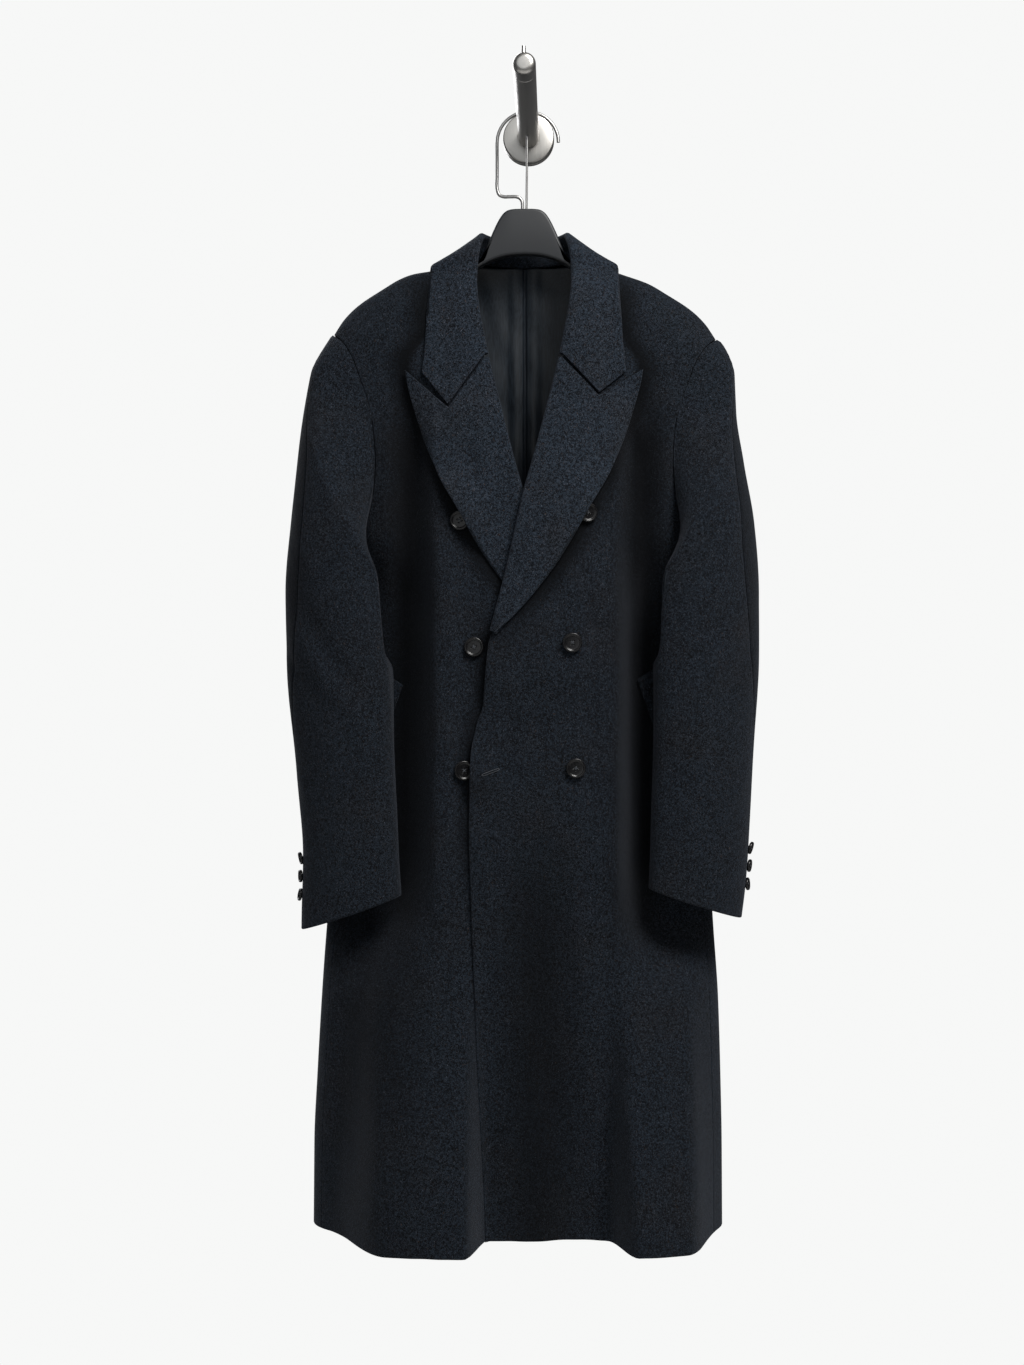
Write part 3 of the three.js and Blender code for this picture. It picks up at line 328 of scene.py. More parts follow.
def follow(rows, along, column):
    at = np.array([row[along] for row in rows], float)
    value = np.array([row[column] for row in rows], float)
    if at[-1] < at[0]:
        at, value = at[::-1], value[::-1]
    slope = np.diff(value) / np.diff(at)
    tangent = np.zeros(len(at))
    tangent[0], tangent[-1] = slope[0], slope[-1]
    both = slope[:-1] * slope[1:]
    total = np.where(both > 0, slope[:-1] + slope[1:], 1.0)
    tangent[1:-1] = np.where(both > 0, 2 * both / total, 0.0)

    def curve(place):
        i = np.clip(np.searchsorted(at, place, side="right") - 1, 0, len(at) - 2)
        step = at[i + 1] - at[i]
        t = np.clip((place - at[i]) / step, 0, 1)
        rise = value[i + 1] - value[i]
        a = tangent[i] * step - rise
        b = rise - tangent[i + 1] * step
        return value[i] + rise * t + t * (1 - t) * (a * (1 - t) + b * t)

    return curve


def curves(rows, along, columns):
    return {key: follow(rows, along, key) for key in columns.split()}


# %% Body sections and shoulder line
sections = table(
    "z left right side front back full",
    (-150, -266, 258, 64, 82, 44, 3.0), (-200, -266, 258, 63, 98, 28, 3.0), (-262, -262, 254, 62, 108, 21, 3.0),
    (-350, -238, 230, 58, 116, 16, 3.0), (-430, -220, 212, 54, 121, 13, 2.8), (-495, -212, 204, 50, 124, 12, 2.6),
    (-600, -214, 205, 45, 128, 12, 2.4), (-764, -224, 211, 42, 134, 12, 2.4), (-900, -237, 219, 45, 140, 12, 2.6),
    (-955, -242, 222, 50, 142, 12, 2.7), (-1040, -247, 227, 58, 146, 13, 2.9), (-1125, -251, 229, 66, 150, 14, 3.0),
    (-1210, -254, 230, 74, 154, 15, 3.2), (-1304, -254, 230, 80, 157, 16, 3.4))
body = curves(sections, "z", "left right side front back full")
shoulder_line = table(
    "aside z depth",
    (0, -118, 72), (40, -137, 72), (78, -163, 72), (110, -177, 71), (147, -190, 69), (170, -203, 67), (198, -221, 65),
    (215, -237, 63), (228, -256, 62))
shoulder_z = follow(shoulder_line, "aside", "z")
ridge_depth = follow(shoulder_line, "aside", "depth")
over_shoulder = 58
print("body", len(sections), "sections, hem at", hem_z)


def centre_at(z):
    return (body["left"](z) + body["right"](z)) / 2


def half_at(z):
    return (body["right"](z) - body["left"](z)) / 2


# %% [markdown]
# ## Folds and creases
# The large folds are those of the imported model. The creases are new: soft ridges and troughs drawn from one
# point to another, each with its own width and height, and a slow unevenness as every hanging cloth has.
# They could be sculpted by hand. A table keeps each one where it can be read and moved, and bends its line a
# little so that no crease is straight.

# %% Folds
fold_columns = "x0 x1 flat fall_left fall_right rise start whole fade end"
front_folds = table(
    fold_columns,
    (-120, -112, 44, 78, 26, 78, -925, -1304, -1400, -1500), (150, 155, 28, 37, 48, 75, -925, -1304, -1400, -1500),
    (-148, -136, 3, 32, 30, -19, -270, -400, -850, -990), (144, 130, 3, 30, 32, -19, -280, -410, -850, -990),
    (-104, -98, 3, 24, 26, 9, -430, -560, -860, -1000), (84, 98, 3, 26, 24, 8, -460, -600, -860, -1000),
    (10, 55, 6, 40, 34, -9, -780, -1240, -1400, -1500), (-196, -206, 4, 30, 34, -12, -960, -1060, -1180, -1300))
back_folds = table(
    fold_columns,
    (-95, -110, 10, 50, 50, 16, -760, -1304, -1400, -1500), (80, 100, 10, 50, 50, 14, -820, -1304, -1400, -1500))


def fold_height(folds, x, z):
    total = np.zeros_like(x)
    for f in folds:
        amount = smooth(f["start"], f["whole"], z) * (1 - smooth(f["fade"], f["end"], z))
        span = np.clip((f["start"] - z) / (f["start"] - max(f["whole"], hem_z)), 0, 1)
        away = x - mix(f["x0"], f["x1"], span)
        fall = np.where(away < 0, f["fall_left"], f["fall_right"])
        total = total + f["rise"] * amount * bell(np.maximum(0, np.abs(away) - f["flat"]) / fall, 1.0)
    return total


# %% Creases
crease_columns = "x0 z0 x1 z1 half rise"
front_creases = table(
    crease_columns,
    (-56, -540, -66, -735, 17, -3.2), (-118, -330, -132, -470, 15, -1.8), (118, -320, 134, -455, 16, -1.8),
    (-92, -640, -86, -900, 13, 1.7), (-46, -760, -40, -1010, 16, 1.8), (2, -650, -8, -860, 15, 1.4),
    (34, -820, 48, -1120, 18, -2.2), (96, -700, 112, -930, 14, 1.6), (66, -520, 74, -640, 13, -1.6),
    (-150, -1000, -166, -1260, 16, 1.8), (-94, -990, -84, -1250, 15, -1.8), (120, -1010, 112, -1280, 14, 1.8),
    (176, -1040, 186, -1270, 15, -1.8), (-20, -1020, -16, -1290, 17, 1.2), (-150, -250, -196, -330, 12, -1.2),
    (140, -236, 188, -322, 12, -1.2), (-100, -214, -150, -268, 13, -1.0), (104, -212, 150, -262, 13, -1.0))
back_creases = table(
    crease_columns,
    (-60, -300, -150, -420, 22, -2.4), (62, -310, 148, -410, 20, -2.2), (-30, -520, -44, -800, 18, 2.0),
    (36, -560, 30, -860, 20, -1.8), (-120, -600, -110, -900, 20, -2.0), (118, -620, 126, -940, 18, 2.0),
    (-60, -930, -70, -1240, 22, -2.6), (60, -960, 52, -1260, 20, 2.4), (-160, -980, -176, -1260, 18, 2.2),
    (160, -1000, 170, -1270, 18, -2.0), (-90, -450, -30, -560, 16, -1.4), (90, -470, 40, -560, 16, -1.4))
ripples = table(
    "x z turn rise",
    (47, 190, 0.3, 0.30), (31, 120, 1.9, 0.22), (83, 61, 4.1, 0.26), (139, 97, 2.6, 0.34), (24, 71, 5.2, 0.12))
print(len(front_creases), "creases in front and", len(back_creases), "behind")


def crease_height(creases, x, z):
    total = np.zeros_like(x)
    for c in creases:
        dx, dz = c["x1"] - c["x0"], c["z1"] - c["z0"]
        length = math.hypot(dx, dz)
        along = ((x - c["x0"]) * dx + (z - c["z0"]) * dz) / length**2
        bow = 5 * np.sin(np.pi * np.clip(along, 0, 1) * 1.6 + c["half"])
        away = ((x - c["x0"]) * dz - (z - c["z0"]) * dx) / length + bow
        total = total + c["rise"] * bell(away / c["half"], 1.0) * bell(along - 0.5, 0.62)
    for r in ripples:
        total = total + r["rise"] * np.sin(2 * np.pi * (x / r["x"] + z / r["z"]) + r["turn"])
    return total


# %% Depth of the body
def press(aside, z):
    """How far the sleeves hold the sides of the body in."""
    return 0.58 * smooth(110, 175, aside) * smooth(-480, -580, z) * (1 - smooth(-935, -1040, z))


def body_depth(x, z, on_back):
    aside = np.abs(x - centre_at(z))
    round_off = np.sqrt(np.maximum(0, 1 - np.minimum(1, aside / half_at(z)) ** body["full"](z)))
    side = body["side"](z)
    drop = np.clip((shoulder_z(aside) - z) / over_shoulder, 0, 1)
    rounded = np.sqrt(1 - (1 - drop) ** 2)
    fade = rounded * np.minimum(1, 1.3 * round_off)
    if on_back:
        depth = side - (side - body["back"](z)) * round_off + fold_height(back_folds, x, z) * round_off
        depth = depth + crease_height(back_creases, x, z) * fade
    else:
        depth = side + (body["front"](z) - side) * round_off * (1 - press(aside, z))
        depth = depth + fold_height(front_folds, x, z) * np.minimum(1, 1.6 * round_off)
        depth = depth + crease_height(front_creases, x, z) * fade
    return mix(ridge_depth(aside), depth, rounded)


third_button_x, third_button_z = -72, -766


def over_lift(x, z):
    """How far the over front stands off the under one: on its edge, over the lapels and over a button."""
    fade = 1 - smooth(-440, -320, z)
    on_lapel = smooth(-715, -640, z) * fade
    over_button = 12 * bell(np.hypot(x - third_button_x, z - third_button_z), 50)
    return mix((layer + 0.9) * fade, 10.8, on_lapel) * (1 - smooth(58, 104, x)) + over_button


def ridge_gap(x, z):
    """The front and the back part a little more along the shoulder seam."""
    return seam_gap * 0.8 + 1.1 * (1 - smooth(2, 24, shoulder_z(np.abs(x - centre_at(z))) - z))


def under_depth(x, z):
    return body_depth(x, z, False) + ridge_gap(x, z)


def over_depth(x, z):
    return under_depth(x, z) + over_lift(x, z)


def back_depth(x, z):
    return body_depth(x, z, True) - ridge_gap(x, z)


# %% [markdown]
# ## A wall of cloth with rounded edges
# Each panel is a grid between two seams. Its back is the same grid moved in by the cloth's thickness, and a
# rim joins them. A free edge is turned over and pressed, so its rim is a half round. At a seam only the
# corner is soft, which leaves the fine groove of a pressed seam between two panels. Solidify and Bevel could
# do this, but they round every edge alike.

# %% Cloth wall
def unit(vectors):
    return vectors / np.maximum(np.linalg.norm(vectors, axis=-1, keepdims=True), 1e-9)


def rim_profile(kind, thickness):
    """Pairs of inset and depth, from the outer face to the inner one."""
    if kind == "free":
        r = thickness / 2
        return [(r, 0), (0.3 * r, 0.3 * r), (0, r), (0.3 * r, thickness - 0.3 * r), (r, thickness)]
    return [(0.75, 0), (0.22, 0.22), (0, 0.75), (0, 0.6 * thickness), (0, thickness)]


def shade_smooth(mesh):
    mesh.polygons.foreach_set("use_smooth", np.ones(len(mesh.polygons), bool))


def link_mesh(name, points, faces, materials, chosen=None, sharp=None):
    """A smooth mesh from points in millimetres. Edges that turn by more than sharp degrees stay sharp."""
    mesh = bpy.data.meshes.new(name)
    mesh.from_pydata((np.asarray(points) * MM).tolist(), [], faces.tolist() if hasattr(faces, "tolist") else faces)
    for material in materials:
        mesh.materials.append(material)
    if chosen is not None:
        mesh.polygons.foreach_set("material_index", np.asarray(chosen, np.int32))
    shade_smooth(mesh)
    mesh.update()
    if sharp:
        mesh.set_sharp_from_angle(angle=math.radians(sharp))
    return into_scene(name, mesh)


def high_shoulder(x, z):
    """The shoulder on the picture's left hangs a little higher than the other."""
    return 7.5 * smooth(-400, -240, z) * smooth(86, 140, -(x + 4))


rim_steps = 5
edge_parts = {"u0": np.s_[:, 0], "u1": np.s_[:, -1], "v0": np.s_[0], "v1": np.s_[-1]}


def edge_rings(net, normal, free, thickness):
    """The net with its border drawn in and down, once for each step of the rim."""
    out = {"u0": unit(net[:, 0] - net[:, 1]), "u1": unit(net[:, -1] - net[:, -2]),
           "v0": unit(net[0] - net[1]), "v1": unit(net[-1] - net[-2])}
    profiles = {side: rim_profile("free" if side in free.split() else "seam", thickness) for side in out}
    rings = []
    for k in range(rim_steps):
        ring, deep = net.copy(), np.zeros(net.shape[:2])
        for side, part in edge_parts.items():
            inset, down = profiles[side][k]
            ring[part] = ring[part] - out[side] * inset
            deep[part] = np.maximum(deep[part], down)
        rings.append(ring - normal * deep[..., None])
    return rings


def shell_faces(rows, cols):
    """Faces of the outer skin, the inner one and the rim, the skin's face count, and the border in order."""
    count = rows * cols
    grid = np.arange(count).reshape(rows, cols)
    border = np.concatenate([grid[0, :-1], grid[:-1, -1], grid[-1, :0:-1], grid[:0:-1, 0]])
    a, b, c, d = grid[:-1, :-1].ravel(), grid[:-1, 1:].ravel(), grid[1:, 1:].ravel(), grid[1:, :-1].ravel()
    skin = np.stack([a, b, c, d], axis=1)
    back = np.stack([d, c, b, a], axis=1) + count
    between = [2 * count + i * len(border) + np.arange(len(border)) for i in range(rim_steps - 2)]
    bands = [border, *between, border + count]
    rim = [np.stack([np.roll(near, -1), near, far, np.roll(far, -1)], axis=1)
           for near, far in zip(bands[:-1], bands[1:])]
    return np.concatenate([skin, back, *rim]), len(skin), border


def cloth_wall(name, place, us, vs, facing, free="", thickness=cloth, relief=None, inside=None, fabric=wool_cloth,
               pressed=None, tilt=True):
    """place(u, v) gives x, depth and z. free names the edges with a round rim, such as "u1 v1"."""
    u, v = np.meshgrid(np.asarray(us, float), np.asarray(vs, float))
    x, depth, z = place(u, v)
    net = np.stack([x, -depth, z], axis=-1)
    if tilt:
        net[..., 2] += high_shoulder(x, z)
    normal = unit(np.cross(np.gradient(net, axis=1), np.gradient(net, axis=0))) * facing
    if relief is not None:
        net = net + normal * relief(u, v, x, z)[..., None]
    rings = edge_rings(net, normal, free, thickness)
    faces, skin_count, border = shell_faces(*u.shape)
    on_border = np.ones((*u.shape, 1), bool)
    on_border[1:-1, 1:-1] = False
    skins = [np.where(on_border, rings[0], net), np.where(on_border, rings[-1], net - normal * thickness)]
    rim = [ring.reshape(-1, 3)[border] for ring in rings[1:-1]]
    points = np.concatenate([*[skin.reshape(-1, 3) for skin in skins], *rim])
    if facing < 0:
        faces = faces[:, ::-1]
    chosen = np.zeros(len(faces), int)
    if inside is not None:
        middle_x = (x[:-1, :-1] + x[1:, 1:]).ravel() / 2
        middle_z = (z[:-1, :-1] + z[1:, 1:]).ravel() / 2
        chosen[skin_count:2 * skin_count] = inside(middle_x, middle_z)
    piece = link_mesh(name, points, faces, [fabric, satin.material], chosen)
    # pressed gives the painted shade at each point, kept as the "pressed" attribute that darkens the wool
    if pressed is not None:
        flat = pressed(x, z).reshape(-1)
        flat = np.concatenate([flat, flat, *[flat[border]] * len(rim)])
        piece.data.attributes.new("pressed", "FLOAT", "POINT").data.foreach_set("value", flat.astype(np.float32))
    print(name, len(faces) * 2, "triangles")
    return piece


def dress(piece, nodes):
    """Puts a finished piece on the one body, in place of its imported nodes."""
    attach(piece, "root")
    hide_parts(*nodes)


# %% [markdown]
# ## Fronts and backs
# Four long panels hang from the shoulder seam. The wearer's left front lies over the right one. Inside, each
# front has a wool facing along its edge and a deep hem, and the rest is lined. One tube for the whole body
# would be shorter to write, but four panels keep the seams where a tailor sews them, and let one front lie
# over the other.

# %% Panel layout
armhole_rows = table(
    "z front back",
    (-256, 228, 228), (-268, 215, 221), (-286, 203, 214), (-311, 193, 207), (-336, 184, 202), (-361, 178, 199),
    (-400, 175, 197), (-440, 178, 197), (-470, 190, 200), (-495, 207.5, 207.5))
armhole = curves(armhole_rows, "z", "front back")
front_edge_rows = table(
    "z edge",
    (-163, 78), (-178, 66), (-193, 61.2), (-225, 58.2), (-250, 53), (-282, 46.5), (-320, 37.2), (-368, 25.2),
    (-407, 15.2), (-438, 6.2), (-478, -2.8), (-514, -10.8), (-553, -19.8), (-580, -26.8), (-600, -32.2),
    (-616, -39.6), (-648, -43), (-691, -46), (-710, -52), (-747, -58.5), (-824, -59.5), (-937, -54), (-1080, -46),
    (-1246, -36), (-1304, -34))
front_edge = follow(front_edge_rows, "z", "edge")
seam_to_roll = fold_radius + 1.5 + seam_gap
facing_breadth, hem_depth = 105, 45


def roll_line(z):
    return np.where(z > -600, front_edge(z) - seam_to_roll, mix(-37.9, -40, smooth(-600, -610, z)))


def panel_place(side, on_back, depth_at):
    trim = seam_gap / 2
    back_middle = -0.1  # the two backs meet without daylight
    neck_z, tip_z = shoulder_z(neck_half), shoulder_z(shoulder_half)

    def seam_turn(z):
        return np.radians(mix(88, 71, smooth(-520, -900, z)))

    def place(u, v):
        z = mix(underarm_z, hem_z, v - 1)
        half, turn = half_at(z), seam_turn(z)
        middle_turn = np.arcsin((back_middle if on_back else front_edge(z)) / half)
        if on_back:
            angle = mix(turn + trim / half, np.pi - middle_turn, u)
            x = centre_at(z) + side * half * np.sin(angle)
            low = (x, np.where(angle < np.pi / 2, under_depth(x, z) - trim, depth_at(x, z)), z)
        else:
            angle = mix(turn - trim / half, middle_turn, u)
            x = centre_at(z) + side * half * np.sin(angle)
            low = (x, depth_at(x, z), z)
        # above the underarm the rows run from the shoulder seam down
        side_z = mix(tip_z, underarm_z, v)
        top_z = neck_z - 5 if on_back else neck_z
        middle_z = mix(top_z, underarm_z, v)
        edge = armhole["back" if on_back else "front"](side_z) - trim
        middle = back_middle if on_back else front_edge(middle_z)
        turn = seam_turn(underarm_z)
        end = np.arcsin((back_middle if on_back else front_edge(underarm_z)) / half_at(underarm_z))
        end = np.pi - end if on_back else end
        curved = (np.sin(mix(turn, end, u)) - np.sin(turn)) / (np.sin(end) - np.sin(turn))
        half = mix(edge, middle, mix(u, curved, v))
        top = mix(shoulder_half - trim, 0 if on_back else neck_half, mix(u, curved, v))
        seam_z = np.where(top >= neck_half, shoulder_z(top), neck_z - 5 * smooth(neck_half, 0, top))
        z = mix(side_z, middle_z, (seam_z - tip_z) / (top_z - tip_z))
        x = centre_at(z) + side * half
        high = (x, depth_at(x, z), z)
        return [np.where(v >= 1, one, other) for one, other in zip(low, high)]

    return place


def facing_inside(side):
    """Wool on the facing and the hem, and lining elsewhere."""
    def inside(x, z):
        edge = np.abs(side * (x - centre_at(z)) - front_edge(z))
        return np.where((edge < facing_breadth) | (z < hem_z + hem_depth), 0, 1)
    return inside


def back_inside(x, z):
    return np.where(z < hem_z + hem_depth, 0, 1)


# %% Painted shade
leaf_rows = table("z aside", (-165, 108), (-200, 113), (-250, 116), (-297, 139), (-317, 136), (-368, 123), (-447, 85),
                  (-518, 45), (-566, 8), (-600, -24))
leaf_edge = follow(leaf_rows, "z", "aside")


def front_painted_shade(side):
    """How much shade is painted into the wool: below the turned leaf, beside the sleeve and the edge, and in the skirt.
    """
    def pressed(x, z):
        aside = side * (x - centre_at(z))
        # painted shadow below the edge of the turned lapel and collar
        from_leaf = aside - leaf_edge(z)
        shade_below_leaf = (1 - smooth(0, 34, from_leaf)) * smooth(-12, -1, from_leaf)
        shade_below_leaf = shade_below_leaf * smooth(-640, -560, z) * smooth(-160, -215, z)
        # painted shade beside the sleeve
        middle = 136 if side < 0 else 138
        shade_beside_sleeve = bell(aside - middle, 44) ** 0.7 * smooth(-300, -390, z) * (1 - smooth(-900, -1010, z))
        if side < 0:
            # painted shadow beside the over front's edge, and painted shade in the skirt's hollow
            from_edge = front_edge(z) - (x + 4)
            shade_beside_edge = 0.85 * (1 - smooth(0, 26, from_edge)) * smooth(-570, -620, z) * (1 - smooth(-820, -960, z))
            skirt_shade = bell(x + 176, 100) * smooth(-880, -950, z) * (1 - 0.45 * smooth(-1100, -1230, z))
            lower = np.maximum(shade_beside_edge, 0.6 * skirt_shade)
        else:
            # painted shade in the middle of the skirt
            lower = 0.72 * bell(x - 14, 70) * smooth(-780, -960, z)
        return np.clip(np.maximum(np.maximum(shade_below_leaf, shade_beside_sleeve), lower), 0, 1)
    return pressed


# %% Sew the panels
top_rows = np.concatenate([[0, 0.004, 0.009, 0.016, 0.026, 0.038], np.linspace(0.052, 1, 96)])
panel_rows = np.concatenate([top_rows, np.linspace(1, 2, 205)[1:]])
panel_cols = np.linspace(0, 1, 73)
flat_front, flat_back = (0.42, 1.18), (0.30, 1.18)
panels = (
    ("wool_front_over", "front_left_over", 1, False, over_depth, 1, "u1 v1", facing_inside(1), flat_front, 0.37),
    ("wool_front_under", "front_right_under", -1, False, under_depth, -1, "u1 v1", facing_inside(-1), flat_front, 0.37),
    ("wool_back_left", "back_left", 1, True, back_depth, -1, "v1", back_inside, flat_back, 0.31),
    ("wool_back_right", "back_right", -1, True, back_depth, 1, "v1", back_inside, flat_back, 0.31))
for name, node, side, on_back, depth_at, facing, free, inside, flat, area in panels:
    piece = cloth_wall(name, panel_place(side, on_back, depth_at), panel_cols, panel_rows, facing, free, inside=inside,
                       pressed=None if on_back else front_painted_shade(side))
    dress(piece, [node])

# %% [markdown]
# ## Sleeves
# A tailored sleeve has a broad top piece and a narrow under piece, and hangs a little forward. Its seam on
# the outer side shows in the picture as a long dark line; beside it, on the under piece, shade is painted
# into the wool. The creases are drawn round the arm: one number is the turn round it, with 90 degrees at the
# front, and the other is the height.

# %% Sleeve layout
arm_columns = "z outer inner shallow deep half"
right_arm_rows = table(
    arm_columns,
    (-262, -244, -196, 64, 84, 26), (-300, -259, -186, 66, 92, 40), (-345, -267, -181, 70, 100, 46),
    (-403, -274, -178, 74, 108, 48), (-475, -282, -172, 77, 112, 48), (-560, -288, -165, 79, 114, 47),
    (-640, -286, -159, 80, 115, 45), (-771, -274, -154, 84, 115, 42), (-866, -266, -150, 90, 116, 39),
    (-955, -267, -143, 94, 117, 37))
left_arm_rows = table(
    arm_columns,
    (-262, 240, 190, 64, 84, 26), (-300, 246, 182, 66, 92, 40), (-345, 247, 177, 70, 100, 46),
    (-403, 256, 168, 74, 108, 48), (-475, 268, 160, 77, 112, 48), (-560, 274, 149, 79, 114, 47),
    (-640, 273, 148, 80, 115, 45), (-771, 265, 146, 84, 115, 42), (-866, 260, 143, 90, 116, 39),
    (-955, 250, 139, 94, 117, 37))
hind_rows = table(
    "v turn",
    (0, 196), (0.06, 158), (0.165, 133), (0.3, 130), (0.43, 136), (0.56, 148), (0.68, 165), (0.78, 182), (1, 190))
hind_turn = follow(hind_rows, "v", "turn")
forearm_turn = -110


def make_arm(rows, side, cuff_z, cuff_slant):
    return dict(curves(rows, "z", "outer inner shallow deep half"), side=side, cuff_z=cuff_z, cuff_slant=cuff_slant)


right_arm = make_arm(right_arm_rows, -1, -934, 21)
left_arm = make_arm(left_arm_rows, 1, -922, 18)


def sleeve_place(arm, turn, v):
    angle = np.radians(turn)
    side, tip_z = arm["side"], shoulder_z(shoulder_half)
    inward = (1 + np.cos(angle)) / 2
    hole_z = mix(tip_z, underarm_z, inward)
    z = mix(hole_z, arm["cuff_z"] + arm["cuff_slant"] * np.cos(angle), v)
    forward = np.sin(angle)
    hole_half = np.where(forward >= 0, armhole["front"](hole_z), armhole["back"](hole_z)) + seam_gap / 2 + 0.3
    hole_half = hole_half - 0.5 * smooth(-300, tip_z, hole_z) + 0.9 * smooth(-455, underarm_z, hole_z)
    hole_x = centre_at(hole_z) + side * hole_half
    hole_depth = np.where(forward >= 0, under_depth(hole_x, hole_z), back_depth(hole_x, hole_z))
    x = mix(arm["outer"](z), arm["inner"](z), inward)
    depth = mix(arm["shallow"](z), arm["deep"](z), inward) + arm["half"](z) * forward
    low = smooth(0.7, 1, inward) * (1 - smooth(0.22, 0.5, forward))
    own = smooth(0, mix(0.13, 0.36, low), v)
    early = np.sqrt(1 - (1 - np.clip(v / 0.062, 0, 1)) ** 2)
    own = mix(own, np.maximum(own, early), 1 - smooth(0.08, 0.4, inward))
    behind = smooth(0.25, 0.7, inward) * (1 - smooth(0.1, 0.45, forward))
    deepens = smooth(0, mix(0.13, 0.6, behind), v)
    beside = np.maximum(half_at(underarm_z), np.where(z < underarm_z, half_at(z), 0)) + 5.4
    side_limit = mix(armhole["back"](hole_z) + 1.2, beside, smooth(0, 0.05, v))
    hold = (1 - smooth(0, 0.45, forward)) * (1 - smooth(0.19, 0.37, v))
    aside = (mix(hole_x, x, own) - centre_at(z)) * side
    held = mix(aside, np.maximum(aside, side_limit), hold)
    deep = mix(hole_depth, depth, deepens)
    # clear of the body and of the pocket welt
    margin = mix(3, 9, smooth(0, 0.12, v)) * (1 - 0.5 * hold)
    reach = np.where(z < underarm_z, half_at(z) + margin, armhole["front"](z) + 1)
    pressed = held * (half_at(z) / (half_at(z) + margin))
    spare = (2.6 + 6.4 * smooth(-615, -645, z) * (1 - smooth(-805, -840, z))) * smooth(0, 0.05, v)
    spare = spare + 11 * (1 + forward) * smooth(0, 0.07, v)
    least = under_depth(centre_at(z) + side * pressed, z) + spare
    free = (held > reach) | ((z >= underarm_z) & (forward < 0))
    return centre_at(z) + side * held, np.where(free, deep, np.maximum(deep, least)), z


# %% Sleeve creases
sleeve_creases = table(
    "turn0 z0 turn1 z1 half rise",
    (150, -540, 50, -700, 20, -2.6), (140, -585, 60, -740, 18, 2.4), (120, -380, 60, -450, 18, -1.7),
    (100, -640, 96, -860, 20, 1.6), (60, -500, 30, -600, 15, -1.8), (170, -610, 110, -690, 14, -2.0),
    (70, -780, 130, -850, 16, -1.4), (205, -600, 260, -680, 18, 2.2), (200, -660, 270, -730, 15, -2.2),
    (115, -300, 80, -356, 14, 1.3), (145, -450, 100, -560, 16, 1.5), (160, -760, 120, -850, 14, 1.3))


def sleeve_relief(turn_of, lean):
    def relief(u, v, x, z):
        turn = turn_of(u, v)
        total = np.zeros_like(turn)
        for c in sleeve_creases:
            turn0, turn1 = c["turn0"] + lean, c["turn1"] + lean
            s, s1 = (turn - turn0) * 0.84, (turn1 - turn0) * 0.84
            length = math.hypot(s1, c["z1"] - c["z0"])
            along = (s * s1 + (z - c["z0"]) * (c["z1"] - c["z0"])) / length**2
            away = (s * (c["z1"] - c["z0"]) - (z - c["z0"]) * s1) / length + 4 * np.sin(3.2 * along + turn0)
            total = total + c["rise"] * bell(away / c["half"], 1.0) * bell(along - 0.5, 0.62)
        total = total + 0.3 * np.sin(z / 23 + turn / 31 + lean) + 0.25 * np.sin(z / 51 - turn / 17)
        shown = np.clip(np.sin(np.radians(turn)) * 1.5 + 0.9, 0, 1)
        return total * smooth(0.03, 0.12, v) * (1 - smooth(0.93, 1.0, v)) * shown
    return relief


# %% Sew the sleeves
sleeve_rows = np.concatenate([[0, 0.004, 0.01, 0.018, 0.028, 0.04], np.linspace(0.052, 1, 190)])
seam_trim = 0.45
for name, arm, lean in (("right", right_arm, 0), ("left", left_arm, -14)):
    def top_turn(u, v):
        return mix(forearm_turn + seam_trim, hind_turn(v) - seam_trim, u)

    def under_turn(u, v):
        return mix(hind_turn(v) + seam_trim, 360 + forearm_turn - seam_trim, u)

    # painted shade on the outer strip of the under piece, beside the outer seam
    def outer_strip_shade(x, z, outer=arm["outer"]):
        return 0.6 * (1 - smooth(24, 60, np.abs(x - outer(z)))) * smooth(-290, -360, z)

    def cuff_lined(x, z, low=arm["cuff_z"] + 40):
        return np.where(z < low, 0, 1)

    parts = (("top", top_turn, 76, (0.27, 0.72), 0.165), ("under", under_turn, 26, (0.13, 0.70), 0.055))
    for part, turn_of, cols, flat, area in parts:
        piece = cloth_wall(
            f"wool_sleeve_{name}_{part}", lambda u, v, t=turn_of: sleeve_place(arm, t(u, v), v), np.linspace(0, 1, cols),
            sleeve_rows, -arm["side"], "v1", relief=sleeve_relief(turn_of, lean), inside=cuff_lined,
            pressed=outer_strip_shade if part == "under" else None)
        dress(piece, [f"sleeve_{name}_{part}"])
        beside = ["wool_front_over", "wool_back_left"] if name == "left" else ["wool_front_under", "wool_back_right"]

# %% [markdown]
# ## Lapels and collar
# A lapel is the front's own edge turned over at the roll line, so its net starts inside the coat, goes round
# a small fold and lies on the front. The collar does the same round the neck. The columns of both nets meet
# the corner of the notch, which keeps it sharp.

# %% Turned cloth
fold_span = 0.2


def dot(a, b):
    return (a * b).sum(-1, keepdims=True)


def turned(roll, along, outward, hidden, edge, c, swell, free):
    inward = -unit(outward - along * dot(outward, along))
    stack = unit(np.cross(along, inward))
    stack = np.where(dot(stack, swell) < 0, -stack, stack)
    centre = roll - inward * fold_radius
    c = c[..., None]
    angle = np.clip(c / fold_span, -1, 1) * np.pi / 2
    bend = centre + inward * fold_radius * np.cos(angle) + stack * fold_radius * np.sin(angle)
    start = centre + stack * fold_radius * np.sign(c)
    tucked = start - inward * 0.9
    part = (np.abs(c) - fold_span) / (1 - fold_span)
    end = np.where(c > 0, edge, mix(tucked, hidden, free))
    return np.where(np.abs(c) <= fold_span, bend, mix(start, end, part))


def stacked(x, depth, z):
    return np.stack(np.broadcast_arrays(x, -depth, z), axis=-1)


